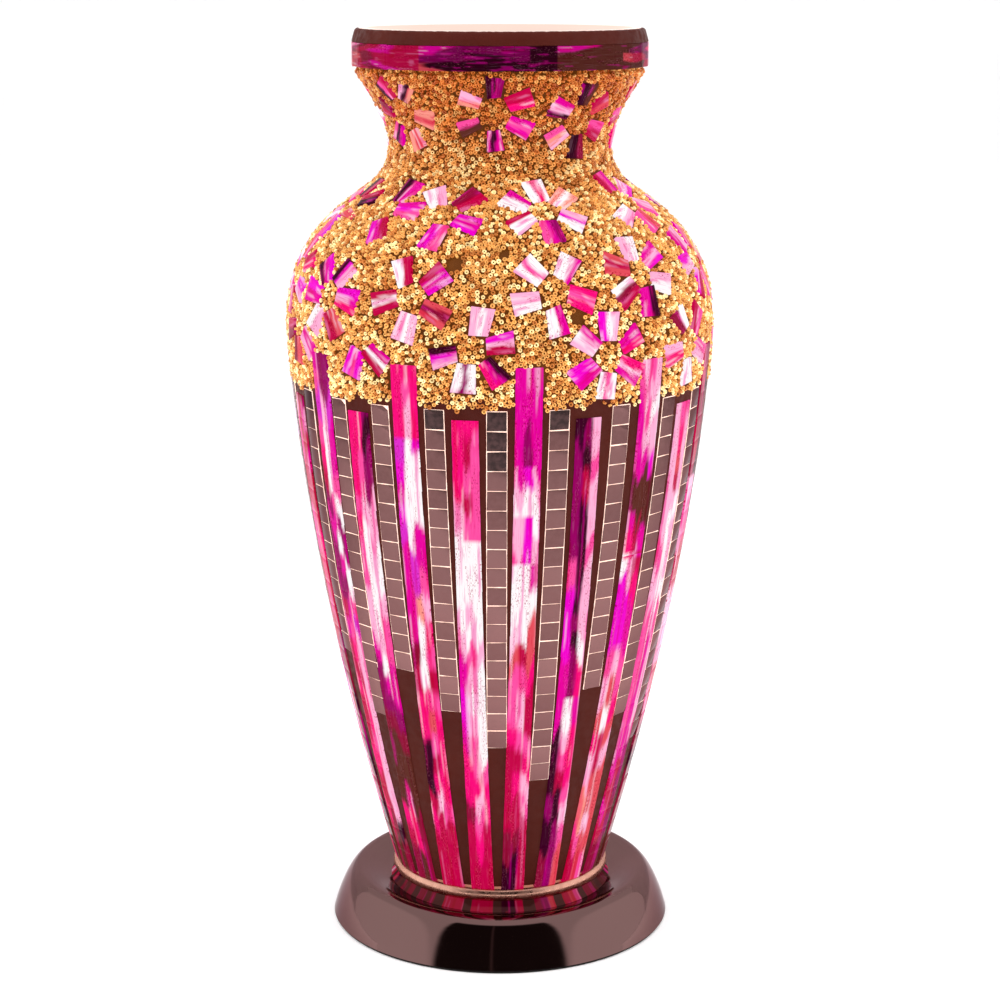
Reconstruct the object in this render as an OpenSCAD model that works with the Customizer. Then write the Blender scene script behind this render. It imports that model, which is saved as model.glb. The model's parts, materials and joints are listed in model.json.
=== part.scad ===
// Mosaic glass table lamp: a lit glass vase with columns of coloured glass and mirror
// below, flower petals in a bed of seed beads above, on a polished round base.
// Millimetres, +Z up, origin on the table at the middle of the base, front towards -Y.
// Azimuths are in degrees from the front, positive towards +X.

/* [Vase outline] */
// Height of the lamp from the table to the top of the rim
lamp_h = 385; // [380:1:390]
// Outside radius of the mosaic at its foot
foot_r = 46; // [45.6:0.1:46.4]
// Outside radius of the mosaic at the belly
belly_r = 89.3; // [88:0.1:90.5]
// Height of the belly above the table
belly_z = 256; // [254:1:258]
// Outside radius of the mosaic at the neck
neck_r = 46; // [45.5:0.1:47]
// Height of the narrowest point of the neck above the table
neck_z = 338; // [337:1:339]
// Outside radius of the tiled rim band
rim_r = 61; // [60.8:0.1:61.4]
// Height of the tiled rim band
rim_band_h = 9.8; // [9.2:0.1:10.4]

/* [Wall layers] */
// Thickness of the glass vase
glass_t = 3; // [2.5:0.1:3.5]
// Thickness of the grout coat behind the tiles
coat_t = 0.8; // [0.6:0.1:1]
// Depth of the mosaic over the grout coat
tile_t = 2.2; // [2:0.1:2.4]
// Thickness of the flower petals
petal_t = 1.4; // [1.2:0.1:1.5]

/* [Mosaic] */
// Width of a coloured strip at the belly
strip_w = 10.8; // [10:0.1:11]
// Width of a coloured strip at the foot
strip_foot_w = 9.6; // [9.2:0.1:9.8]
// Length of one piece of a coloured strip, with its joint
strip_pitch = 10.1; // [9:0.1:12]
// Height of the top of every other strip
tall_strip_z = 258; // [256:1:260]
// Height of the top of the strips between them
short_strip_z = 237; // [233:1:239]
// Width of a mirror tile
mirror_w = 7.8; // [7.4:0.1:7.9]
// Length of a mirror tile, with its joint
mirror_pitch = 8.2; // [8:0.1:8.4]
// Height of the top of the mirror columns
mirror_top_z = 241; // [238:1:242]
// Joint between two pieces in a column
joint_w = 0.4; // [0.3:0.05:0.6]
// Height of the lower edge of the bead bed
bead_z = 243; // [242.5:0.5:246]
// Distance from the middle of a flower to the middle of a petal
flower_r = 11.6; // [11.4:0.1:12]
// Length of a petal
petal_l = 10; // [9:0.1:10.4]
// Width of a petal at its outer end
petal_w = 8.4; // [7.5:0.1:8.6]
// Width of a petal at its inner end
petal_tip_w = 6; // [5:0.1:6.5]
// Number of flat tiles round the rim
rim_tiles_n = 34; // [32:1:36]

/* [Base] */
// Radius of the base
base_r = 73.4; // [72.5:0.1:74]
// Radius of the crest of the base
crest_r = 62; // [61:0.5:63]
// Height of the crest of the base
crest_z = 21; // [20.5:0.1:21.5]
// Radius where the neck cup stands on the base
cup_foot_r = 48.2; // [47.5:0.1:49]
// Height where the neck cup stands on the base
cup_foot_z = 16.8; // [16.5:0.1:17]
// Outside radius of the copper coloured ring under the mosaic
ring_r = 46.6; // [46.4:0.1:46.8]
// Thickness of the spun metal
metal_t = 1.2; // [1:0.1:1.4]
// Thickness of the felt under the base
felt_t = 1.2; // [1:0.1:1.5]
// Radius of the hole in the cable gland
gland_bore_r = 3.2; // [3:0.1:3.3]

/* [Lamp holder and bulb] */
// Radius of the threaded tube
stem_r = 4.9; // [4.8:0.05:5]
// Radius of the hole down the threaded tube
stem_bore_r = 3.6; // [3.2:0.1:3.8]
// Height of the underside of the lamp holder
holder_z = 78; // [70:1:80]
// Outside radius of the lamp holder
holder_r = 20; // [19:0.5:21]
// Radius of the bulb's screw cap
cap_r = 13.1; // [12.9:0.05:13.2]
// Radius of the bulb's globe
bulb_r = 30; // [28:1:31]
// Length of the bulb from its contact to its top
bulb_l = 108; // [105:1:112]

/* [Hidden] */
COLUMNS = 22;
PAIRS = COLUMNS / 2;
function pair_name(kind, i) = str(kind, "_pair_", i < 9 ? "0" : "", i + 1);
STRIP_NODES = [for (i = [0 : PAIRS - 1]) pair_name("strip", i)];
MIRROR_NODES = [for (i = [0 : PAIRS - 1]) pair_name("mirror", i)];
PETAL_NODES = ["petals_neck", "petals_upper", "petals_middle", "petals_lower"];
$fn = 96;

// Clearance between pieces that touch or are screwed together
fit = 0.05;
// Clearance between the bulb and its holder
bulb_gap = 0.4;

// Colours
pink = [0.93, 0.1, 0.5];
magenta = [0.82, 0.05, 0.62];
pale_pink = [0.98, 0.72, 0.84];
plum = [0.4, 0.03, 0.28];
gold = [0.85, 0.6, 0.3];
brown = [0.36, 0.2, 0.16];
mirror_grey = [0.55, 0.42, 0.42];
nickel = [0.42, 0.36, 0.37];
copper = [0.8, 0.55, 0.45];
cream = [0.97, 0.88, 0.86];
steel = [0.75, 0.75, 0.77];
brass = [0.85, 0.7, 0.35];
black = [0.08, 0.08, 0.08];

// ---- Curves and layers ----

// A point of a cubic curve with ends a and d and handles b and c
function curve_point(a, b, c, d, t) =
    pow(1 - t, 3) * a + 3 * pow(1 - t, 2) * t * b + 3 * (1 - t) * t * t * c + pow(t, 3) * d;
// The curve's points in n steps, without the first one
function curve(a, b, c, d, n) = [for (i = [1 : n]) curve_point(a, b, c, d, i / n)];
function along(p, i) = p[min(i + 1, len(p) - 1)] - p[max(i - 1, 0)];
function left_of(v) = [-v[1], v[0]] / norm(v);
// An outline moved to its left by d, which is into the wall on every outline here
function inset(p, d) = [for (i = [0 : len(p) - 1]) p[i] + d * left_of(along(p, i))];
function reversed(p) = [for (i = [len(p) - 1 : -1 : 0]) p[i]];

// Where the rim band begins and ends
band_z = lamp_h - 15.4;
band_top_z = band_z + rim_band_h;
foot_z = 26;

// The outside of the mosaic from its foot to the rim, as [radius, height]
foot = [foot_r, foot_z];
belly = [belly_r, belly_z];
waist = [59.5, 317.5];
neck = [neck_r, neck_z];
lip = [rim_r - 0.4, band_z + 0.4];
skin = concat(
    [foot],
    curve(foot, foot + [24.2, 85], belly - [5.1, 68], belly, 14),
    curve(belly, belly + [2, 33], waist + [18.3, -13], waist, 12),
    curve(waist, waist + [-8.5, 6], neck - [0, 10.5], neck, 8),
    curve(neck, neck + [0, 10.5], lip - [5.1, 9.5], lip, 8)
);

// Radius, slope and length along the skin, by height
radius_table = [for (p = skin) [p[1], p[0]]];
function r_at(z) = lookup(z, radius_table);
function slope_at(z) = atan((r_at(z + 1) - r_at(z - 1)) / 2);
lengths = [
    for (i = 0, s = 0; i < len(skin); s = s + norm(along_next(i)), i = i + 1) s
];
function along_next(i) = i < len(skin) - 1 ? skin[i + 1] - skin[i] : [0, 0];
length_table = [for (i = [0 : len(skin) - 1]) [skin[i][1], lengths[i]]];
height_table = [for (i = [0 : len(skin) - 1]) [lengths[i], skin[i][1]]];
function s_at(z) = lookup(z, length_table);
function z_at(s) = lookup(s, height_table);

// The part of the skin between two heights, moved into the wall by d
function layer(z0, z1, d) = inset(concat(
    [[r_at(z0), z0]],
    [for (q = skin) if (q[1] > z0 + 0.5 && q[1] < z1 - 0.5) q],
    [[r_at(z1), z1]]
), d);

// Places its children on the skin at an azimuth and a length along it. There X runs
// round the vase, Z runs up the skin and -Y points out.
module on_skin(azimuth, s, depth = 0) {
    z = z_at(s);
    rotate([0, 0, azimuth])
        translate([0, -r_at(z), z])
            rotate([slope_at(z), 0, 0])
                translate([0, depth, 0]) children();
}

// How far a flat piece of length l stands off the skin where the skin is hollow
function stand_off(s, l) =
    let (z = z_at(s), ends = r_at(z_at(s + l / 2)) + r_at(z_at(s - l / 2)))
    max(0, ends / 2 - r_at(z)) * cos(slope_at(z));

module flat_piece(w, l, t) {
    translate([-w / 2, 0, -l / 2]) cube([w, t, l]);
}

module turned(points) {
    rotate_extrude($fn = 180) polygon(points);
}

module washer(r_out, r_in, z, h) {
    translate([0, 0, z]) difference() {
        cylinder(r = r_out, h = h);
        translate([0, 0, -1]) cylinder(r = r_in, h = h + 2);
    }
}

// ---- Glass vase and its coat ----

glass_r = rim_r - tile_t - coat_t;
floor_z = 23;
floor_t = 4;
heel_r = ring_r - 5.2;
stem_hole_r = stem_r + 0.4;

// The glass wall, open at the mouth, with a floor that has a hole for the tube
module glass_vase() {
    outside = layer(foot_z + 1.6, lip[1], tile_t + coat_t);
    inside = layer(foot_z + 5, lip[1], tile_t + coat_t + glass_t);
    color(cream, 0.4) turned(concat(
        [[stem_hole_r, floor_z], [heel_r, floor_z], [heel_r, foot_z + 0.6]],
        outside,
        [[glass_r, lamp_h], [glass_r - glass_t, lamp_h]],
        reversed(inside),
        [[heel_r - 3, floor_z + floor_t], [stem_hole_r, floor_z + floor_t]]
    ));
}

// The brown grout that holds the mosaic on the glass
module grout_coat() {
    outer = layer(foot_z + 0.6, lip[1], tile_t);
    inner = layer(foot_z + 1.6, lip[1], tile_t + coat_t - fit);
    coat_r = rim_r - tile_t - fit;
    color(brown) turned(concat(
        outer,
        [[coat_r, band_top_z], [glass_r + fit, band_top_z]],
        reversed(inner)
    ));
}

// ---- Coloured strips and mirror columns ----

// The columns on the front were laid by eye and lean a little: [top, foot] azimuths.
// The ones on the back share out what is left.
front_strips = [
    [-72, -73.5], [-54.5, -59], [-40.3, -42.8], [-25.2, -25.7], [-9, -9.3],
    [7.4, 6.7], [23.5, 24.6], [42.8, 41.4], [58.7, 57.4], [73.5, 74.6]
];
last_strip = front_strips[len(front_strips) - 1][0];
back_n = COLUMNS - len(front_strips);
back_step = (360 + front_strips[0][0] - last_strip) / (back_n + 1);
back_strips = [for (k = [1 : back_n]) [last_strip + k * back_step, last_strip + k * back_step]];
strips = concat(front_strips, back_strips);
// Number of tiles in the mirror column to the right of each strip
mirror_counts = [14, 17, 14, 16, 18, 20, 15, 17, 19, 14, 17, 15, 16, 17, 14, 18, 15, 16, 17, 14, 16, 15];
lean_top_z = 230;
lean_foot_z = 50;

function strip_azimuth(i, z) =
    let (p = strips[i], t = (lean_top_z - z) / (lean_top_z - lean_foot_z))
    p[0] + (p[1] - p[0]) * max(0, min(1, t));
function mirror_azimuth(i, z) =
    let (last = i == COLUMNS - 1)
    (strip_azimuth(i, z) + strip_azimuth(last ? 0 : i + 1, z) + (last ? 360 : 0)) / 2;
function is_tall(i) = i % 2 == 1;
function strip_top(i) = is_tall(i) ? tall_strip_z : short_strip_z;
function strip_width(z) =
    strip_foot_w + (strip_w - strip_foot_w) * (z - foot_z) / (belly_z - foot_z);

// The mirror tiles narrow where the room between two strips runs out
function mirror_width(i, z) =
    let (span = 2 * (mirror_azimuth(i, z) - strip_azimuth(i, z)) * PI / 180)
    min(mirror_w, span * (r_at(z) - tile_t) - strip_width(z) - fit);

module strip(i) {
    s0 = s_at(foot_z) + 0.3;
    n = round((s_at(strip_top(i)) - s0) / strip_pitch);
    pitch = (s_at(strip_top(i)) - s0) / n;
    for (k = [0 : n - 1]) {
        s = s0 + (k + 0.5) * pitch;
        on_skin(strip_azimuth(i, z_at(s)), s)
            flat_piece(strip_width(z_at(s)), pitch - joint_w / 2, tile_t - fit);
    }
}

module mirror_column(i) {
    top = s_at(mirror_top_z);
    for (k = [0 : mirror_counts[i] - 1]) {
        s = top - (k + 0.5) * mirror_pitch;
        on_skin(mirror_azimuth(i, z_at(s)), s)
            flat_piece(mirror_width(i, z_at(s)), mirror_pitch - joint_w, tile_t - fit);
    }
}

strip_colors = [pink, magenta, pale_pink, pink, plum, magenta];

module strip_pair(i) {
    color(strip_colors[i % len(strip_colors)]) {
        strip(i);
        strip(i + PAIRS);
    }
}

module mirror_pair(i) {
    color(mirror_grey) {
        mirror_column(i);
        mirror_column(i + PAIRS);
    }
}

// ---- Flowers and beads ----

// Flowers by row, from the neck down: [azimuth, height, petals, turn of the first petal]
neck_flowers = [
    [-51, 352, 6, 52], [-2.5, 353, 6, 90], [40, 350, 6, 95], [85, 352, 6, 70],
    [130, 351, 6, 100], [175, 353, 6, 60], [220, 351, 6, 85], [265, 352, 6, 110]
];
upper_flowers = [
    [-73, 314, 6, 30], [-46.5, 315, 5, 75], [-20.6, 314.5, 5, 50], [16.4, 316, 6, 92],
    [58, 317, 6, 98], [98, 315, 5, 40], [137, 316, 6, 75], [176, 314, 6, 100],
    [215, 316, 5, 60], [252, 315, 6, 85]
];
middle_flowers = [
    [-76, 287, 6, 30], [-52, 281.5, 6, 59], [-23.5, 284, 5, 45], [14, 287, 5, -87],
    [41.8, 291.5, 6, 96], [74, 293, 6, 63], [106, 287, 6, 80], [139, 290, 5, 20],
    [172, 286, 6, 95], [205, 289, 6, 50], [238, 287, 5, 75], [261, 290, 6, 40]
];
lower_flowers = [
    [-66, 268.5, 6, 20], [-38.5, 268, 6, 15], [-7, 265, 6, 14], [28.5, 261, 6, 88],
    [58.7, 261.5, 5, 50], [90, 264, 6, 20], [123, 262, 6, 90], [156, 265, 5, 35],
    [189, 263, 6, 15], [222, 266, 6, 88], [255, 263, 6, 50]
];
flower_rows = [neck_flowers, upper_flowers, middle_flowers, lower_flowers];

// A petal is [row, azimuth, length along the skin, direction]
function petal(row, f, k) =
    let (a = f[3] + k * 360 / f[2], s = s_at(f[1]) + flower_r * sin(a))
    [row, f[0] + flower_r * cos(a) / (r_at(z_at(s)) * PI / 180), s, a + 9 * sin(f[0] * 7 + k * 131)];
all_petals = [
    for (row = [0 : 3]) for (f = flower_rows[row]) for (k = [0 : f[2] - 1]) petal(row, f, k)
];

function turn_between(a, b) = abs((a - b + 540) % 360 - 180);
function petal_gap(p, q) =
    let (r = r_at(z_at((p[2] + q[2]) / 2)))
    norm([turn_between(p[1], q[1]) * r * PI / 180, p[2] - q[2]]);
function is_clear(p, kept) = len([for (q = kept) if (petal_gap(p, q) < petal_room) 1]) == 0;
// Flowers that meet share a petal, so one that has no room of its own is left out
petal_room = 11.2;
function kept_petals(i = 0, kept = []) =
    i == len(all_petals) ? kept
    : kept_petals(i + 1, is_clear(all_petals[i], kept) ? concat(kept, [all_petals[i]]) : kept);
petals = kept_petals();

module petal_shape() {
    rotate([90, 0, 0]) linear_extrude(petal_t) polygon([
        [-petal_l / 2, -petal_tip_w / 2], [petal_l / 2, -petal_w / 2],
        [petal_l / 2, petal_w / 2], [-petal_l / 2, petal_tip_w / 2]
    ]);
}

petal_colors = [plum, pink, magenta, pale_pink];

module petal_row(row) {
    color(petal_colors[row]) for (p = petals) if (p[0] == row)
        on_skin(p[1], p[2], petal_t - stand_off(p[2], petal_l)) rotate([0, -p[3], 0]) petal_shape();
}

bead_depth = 0.3;
bead_top_z = band_z - 1.9;
slot_gap = 0.3;

// The bed of seed beads as one skin, with a slot for each tall strip
module bead_bed() {
    outer = layer(bead_z, bead_top_z, bead_depth);
    inner = layer(bead_z, bead_top_z, tile_t - fit);
    color(gold) difference() {
        turned(concat(outer, reversed(inner)));
        for (i = [0 : COLUMNS - 1]) if (is_tall(i))
            on_skin(strip_azimuth(i, tall_strip_z), s_at(tall_strip_z), -tile_t)
                translate([0, 0, slot_gap - 15])
                    flat_piece(strip_w + 4 * slot_gap, 30, 3 * tile_t);
    }
}

// ---- Rim ----

module rim_tiles() {
    w = 2 * rim_r * tan(180 / rim_tiles_n) - joint_w - 0.6;
    color(plum) for (k = [0 : rim_tiles_n - 1])
        rotate([0, 0, k * 360 / rim_tiles_n])
            translate([0, -rim_r, band_z + rim_band_h / 2])
                flat_piece(w, rim_band_h - joint_w / 2, tile_t - fit);
}

// The bevelled edge of grout over the rim tiles
module rim_edge() {
    bevel = 1.5;
    color(brown) turned([
        [glass_r + fit, band_top_z + fit], [rim_r, band_top_z + fit],
        [rim_r - bevel, lamp_h - 0.4], [rim_r - bevel - 0.4, lamp_h], [glass_r + fit, lamp_h]
    ]);
}

// ---- Base ----

cup_t = 1;
cup_top_z = floor_z - 1;
cup_top_r = ring_r - 1.7;
cup_foot = [cup_foot_r, cup_foot_z];
crest = [crest_r, crest_z];
edge = [base_r - 0.2, 3];

// The outside of the base from its lower edge, over the crest and in to the neck cup
dish_skin = concat(
    [[base_r - 0.6, felt_t], [base_r - 0.2, felt_t + 0.6]],
    [edge],
    curve(edge, edge + [-1.3, 4.5], crest + [5.3, 0], crest, 12),
    curve(crest, crest - [5, 0], cup_foot + [2.3, 0.4], cup_foot, 6),
    [[cup_foot_r - 1, cup_foot_z]]
);
gland_z = 8.5;
gland_hole_r = 4.6;

module base_dish() {
    color(nickel) difference() {
        turned(concat(
            dish_skin, [[stem_hole_r, cup_foot_z], [stem_hole_r, cup_foot_z - metal_t]],
            reversed(inset(dish_skin, metal_t))
        ));
        translate([0, base_r, gland_z]) rotate([90, 0, 0]) cylinder(r = gland_hole_r, h = 20);
    }
}

// The flared cup between the base and the ring, with a flat top for the glass
module neck_cup() {
    wall = concat(
        [[cup_foot_r, cup_foot_z]],
        curve(cup_foot, [46.6, 18.2], [45.2, 20], [cup_top_r, cup_top_z - 0.4], 6),
        [[cup_top_r - 0.4, cup_top_z]]
    );
    color(nickel) turned(concat(
        wall,
        [[stem_hole_r, cup_top_z], [stem_hole_r, cup_top_z - cup_t]],
        [[cup_top_r - 1.2, cup_top_z - cup_t]],
        reversed([for (p = wall) if (p[1] < cup_top_z - 1.5) p - [cup_t, 0]])
    ));
}

ring_w = 4.4;
ring_h = foot_z - cup_top_z;
ring_round = 1.9;

// A quarter of a turn round the point c
function corner(c, r, from) = [for (a = [0 : 15 : 90]) c + r * [cos(from + a), sin(from + a)]];

// The rolled ring that the mosaic stands on
module foot_ring() {
    outer = ring_r - ring_round;
    inner = ring_r - ring_w + 1;
    color(copper) translate([0, 0, cup_top_z]) turned(concat(
        corner([outer, ring_h - ring_round], ring_round, 0),
        corner([inner, ring_h - 1], 1, 90),
        corner([inner, 1], 1, 180),
        corner([outer, ring_round], ring_round, 270)
    ));
}

disc_z = 8;
disc_r = 56;
boss_r = 4;
boss_at = 42;
screw_r = 1.5;
cover_z = felt_t;
cover_t = 2;

module each_boss() {
    for (k = [0 : 2]) rotate([0, 0, 30 + 120 * k]) translate([boss_at, 0, 0]) children();
}

// The cast weight that keeps the lamp upright
module weight_disc() {
    color([0.25, 0.25, 0.26]) difference() {
        union() {
            translate([0, 0, disc_z]) cylinder(r = disc_r, h = cup_foot_z - metal_t - fit - disc_z);
            each_boss() translate([0, 0, cover_z + cover_t + fit])
                cylinder(r = boss_r, h = disc_z - cover_z - cover_t + 1);
        }
        translate([0, 0, disc_z - 1]) cylinder(r = stem_hole_r, h = 20);
        each_boss() cylinder(r = screw_r + fit, h = 12 + fit);
    }
}

screw_head_r = 2.9;
screw_head_h = 1.5;

module screw_form(gap) {
    translate([0, 0, cover_z - gap])
        cylinder(r1 = screw_head_r + 2 * gap, r2 = screw_r + gap, h = screw_head_h + 2 * gap);
    cylinder(r = screw_r + gap, h = 12);
}

module bottom_cover() {
    color(black) difference() {
        translate([0, 0, cover_z]) cylinder(r = base_r - metal_t - 1.2, h = cover_t);
        each_boss() screw_form(fit);
    }
}

module cover_screws() {
    color(steel) each_boss() difference() {
        screw_form(0);
        translate([0, 0, cover_z - 2]) cylinder(r = screw_head_r, h = 2);
        translate([0, 0, cover_z - 0.5]) cylinder(r = 1.2, h = 1.4, $fn = 6);
    }
}

module base_felt() {
    color(black) cylinder(r = base_r - 0.5, h = felt_t - fit);
}

// A bushing in the back of the base that the cord would pass through
module cable_gland() {
    gland_l = 12;
    color(black) translate([0, base_r + 0.3, gland_z]) rotate([90, 0, 0]) difference() {
        union() {
            cylinder(r = gland_hole_r - 0.1, h = gland_l);
            translate([0, 0, gland_l - 1.5]) cylinder(r = gland_hole_r + 0.5, h = 1.5);
        }
        translate([0, 0, -1]) cylinder(r = gland_bore_r, h = gland_l + 2);
    }
}

// ---- Tube, nuts and seals ----

stem_z = 3.6;
nut_r = 8.1;
nut_h = 4;
washer_t = 1.2;
seal_t = 1;
stem_top_z = holder_z + 9;
stem_fit_r = stem_r + fit;

module nut(z, h) {
    translate([0, 0, z]) difference() {
        cylinder(r = nut_r, h = h, $fn = 6);
        translate([0, 0, -1]) cylinder(r = stem_fit_r, h = h + 2);
    }
}

module stem_tube() {
    color(steel) washer(stem_r, stem_bore_r, stem_z, stem_top_z - stem_z);
}

module lower_nut() {
    color(steel) nut(stem_z, disc_z - washer_t - stem_z - 2 * fit);
}

module lower_washer() {
    color(steel) washer(12, stem_fit_r, disc_z - washer_t - fit, washer_t);
}

module lower_seal() {
    color(black) washer(34, stem_fit_r, cup_top_z, seal_t - fit);
}

upper_z = floor_z + floor_t;

module upper_seal() {
    color(black) washer(16, stem_fit_r, upper_z, seal_t);
}

module upper_washer() {
    color(steel) washer(15, stem_fit_r, upper_z + seal_t, washer_t);
}

module upper_nut() {
    color(steel) nut(upper_z + seal_t + washer_t, nut_h);
}

module holder_nut() {
    color(steel) nut(holder_z - nut_h, nut_h);
}

// ---- Lamp holder ----

cap_h = 14;
insert_z = holder_z + cap_h;
insert_h = 6;
skirt_h = 32;
contact_z = insert_z + insert_h;
contact_h = 0.6;
wall_t = 1.6;

// The dome that screws on the tube
module holder_cap() {
    color(black) turned(concat(
        [[stem_fit_r, holder_z], [9, holder_z]],
        curve([9, holder_z], [14, holder_z + 1], [holder_r, holder_z + 6], [holder_r, insert_z], 8),
        [[holder_r - wall_t, insert_z]],
        reversed(curve([9, holder_z + 6], [13, holder_z + 6.5], [holder_r - wall_t, holder_z + 9],
            [holder_r - wall_t, insert_z - 0.5], 6)),
        [[9, holder_z + 9], [stem_fit_r, holder_z + 9]]
    ));
}

// The porcelain insert that carries the contacts
module holder_insert() {
    color(cream) washer(holder_r - wall_t - fit, 2, insert_z, insert_h);
}

module holder_skirt() {
    color(black) turned([
        [holder_r, insert_z + fit], [holder_r, insert_z + skirt_h - 1],
        [holder_r - 1, insert_z + skirt_h], [holder_r - wall_t, insert_z + skirt_h],
        [holder_r - wall_t, insert_z + fit]
    ]);
}

sleeve_h = 22;
sleeve_r = cap_r + bulb_gap;

module holder_sleeve() {
    color(brass) washer(sleeve_r + 0.6, sleeve_r, contact_z, sleeve_h);
}

module holder_contact() {
    color(brass) translate([0, 0, contact_z]) cylinder(r = 4, h = contact_h);
}

// ---- Bulb ----

bulb_z = contact_z + contact_h + 0.3;
tip_h = 2;
insulator_h = 2.4;
cap_z = bulb_z + tip_h + insulator_h;
glass_z = cap_z + 19;
globe_z = bulb_z + bulb_l - bulb_r;
bulb_wall = 1;

module bulb_contact() {
    color(steel) translate([0, 0, bulb_z]) cylinder(r = 4.5, h = tip_h);
}

module bulb_insulator() {
    color(black) translate([0, 0, bulb_z + tip_h]) cylinder(r1 = 5, r2 = 11, h = insulator_h);
}

module bulb_cap() {
    color(steel) turned([
        [0, cap_z], [11, cap_z], [cap_r, cap_z + 2], [cap_r, glass_z],
        [cap_r - 0.5, glass_z], [cap_r - 0.5, cap_z + 2.2], [10.8, cap_z + 0.5], [0, cap_z + 0.5]
    ]);
}

module bulb_glass() {
    bulb_neck = [cap_r - 0.2, glass_z + fit];
    globe = [bulb_r, globe_z];
    outside = concat(
        [bulb_neck],
        curve(bulb_neck, bulb_neck + [1.5, 18], globe - [0, 24], globe, 10),
        [for (a = [10 : 10 : 90]) [bulb_r * cos(a), globe_z + bulb_r * sin(a)]]
    );
    inside = [for (p = inset(outside, bulb_wall)) [max(p[0], 0), p[1]]];
    color(cream, 0.8) turned(concat(outside, reversed(inside)));
}

// ---- Nodes ----

glass_vase();
grout_coat();
bead_bed();
rim_tiles();
rim_edge();
for (i = [0 : len(PETAL_NODES) - 1]) petal_row(i);
for (i = [0 : PAIRS - 1]) strip_pair(i);
for (i = [0 : PAIRS - 1]) mirror_pair(i);
foot_ring();
neck_cup();
base_dish();
weight_disc();
bottom_cover();
cover_screws();
base_felt();
cable_gland();
stem_tube();
lower_nut();
lower_washer();
lower_seal();
upper_seal();
upper_washer();
upper_nut();
holder_nut();
holder_cap();
holder_insert();
holder_skirt();
holder_sleeve();
holder_contact();
bulb_contact();
bulb_insulator();
bulb_cap();
bulb_glass();
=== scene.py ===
"""Looks of the mosaic glass table lamp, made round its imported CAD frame. Metres, +Z up, front to -Y."""

import json
import math
from itertools import product

import bpy
import numpy as np
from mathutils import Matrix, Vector
from mathutils.kdtree import KDTree
from numpy.linalg import norm


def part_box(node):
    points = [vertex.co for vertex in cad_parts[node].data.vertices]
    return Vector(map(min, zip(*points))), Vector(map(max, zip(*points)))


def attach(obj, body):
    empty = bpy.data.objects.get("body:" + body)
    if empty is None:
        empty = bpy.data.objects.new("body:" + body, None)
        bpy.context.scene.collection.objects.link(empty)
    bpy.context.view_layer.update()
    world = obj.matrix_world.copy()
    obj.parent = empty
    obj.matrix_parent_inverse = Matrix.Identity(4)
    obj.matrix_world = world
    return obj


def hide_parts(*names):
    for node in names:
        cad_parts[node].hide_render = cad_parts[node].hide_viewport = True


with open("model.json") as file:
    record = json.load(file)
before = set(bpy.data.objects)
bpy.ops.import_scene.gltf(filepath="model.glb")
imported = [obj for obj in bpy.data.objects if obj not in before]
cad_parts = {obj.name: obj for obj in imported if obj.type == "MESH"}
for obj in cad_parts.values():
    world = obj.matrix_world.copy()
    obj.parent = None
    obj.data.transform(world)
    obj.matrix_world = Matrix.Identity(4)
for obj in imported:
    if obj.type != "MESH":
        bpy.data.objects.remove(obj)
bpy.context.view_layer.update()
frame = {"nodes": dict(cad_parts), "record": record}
SLOT_OF = {s["node"]: s["material_slot"] for s in frame["record"]["subparts"]}
MM = 0.001
UP = np.array([0.0, 0.0, 1.0])
rng = np.random.default_rng(11)


# ---- Colours ----


def linear(r, g, b):
    """A colour given in 0-255 screen values, as the shader's linear RGBA."""
    channels = [c / 255 for c in (r, g, b)]
    return [c / 12.92 if c < 0.04045 else ((c + 0.055) / 1.055) ** 2.4 for c in channels] + [1.0]


# One letter for each tone of the coloured glass
TONES = {
    "w": linear(255, 248, 250),  # white
    "l": linear(255, 178, 214),  # light pink
    "p": linear(252, 78, 162),  # pink
    "h": linear(248, 8, 122),  # hot pink
    "m": linear(232, 0, 158),  # magenta
    "f": linear(242, 0, 205),  # fuchsia
    "v": linear(222, 44, 204),  # violet
    "u": linear(152, 0, 98),  # purple
    "d": linear(60, 0, 34),  # dark plum
    "c": linear(196, 4, 72),  # crimson
    "r": linear(146, 14, 58),  # dark red
    "s": linear(228, 78, 92),  # salmon
    "o": linear(250, 150, 135),  # coral
    "b": linear(96, 44, 36),  # brown
    "g": linear(128, 0, 84),  # garnet
    "k": linear(50, 0, 24),  # nearly black red
}


# ---- Node helpers ----


class Nodes:
    """A node tree, with short ways to add the nodes that the materials and the world share."""

    def __init__(self, tree):
        self.tree = tree

    def feed(self, socket, value):
        """Gives a socket a value, or the output of another node."""
        if isinstance(value, bpy.types.NodeSocket):
            self.tree.links.new(value, socket)
        else:
            socket.default_value = value

    def add(self, kind, inputs=None, **settings):
        node = self.tree.nodes.new(kind)
        for key, value in settings.items():
            setattr(node, key, value)
        for key, value in (inputs or {}).items():
            self.feed(node.inputs[key], value)
        return node

    def coordinates(self, output="Object"):
        return self.add("ShaderNodeTexCoord").outputs[output]

    def math(self, operation, a, b=0.0):
        return self.add("ShaderNodeMath", {0: a, 1: b}, operation=operation).outputs[0]

    def step(self, value, low, high, to_low=0.0, to_high=1.0):
        """A smooth step from to_low to to_high as the value goes from low to high."""
        inputs = {"Value": value, "From Min": low, "From Max": high, "To Min": to_low, "To Max": to_high}
        return self.add("ShaderNodeMapRange", inputs, interpolation_type="SMOOTHSTEP").outputs["Result"]

    def mix(self, factor, a, b, blend="MIX"):
        inputs = {0: factor, 6: a, 7: b}
        return self.add("ShaderNodeMix", inputs, data_type="RGBA", blend_type=blend).outputs[2]

    def times(self, color, r, g, b):
        return self.mix(1.0, color, [r, g, b, 1], "MULTIPLY")


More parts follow.
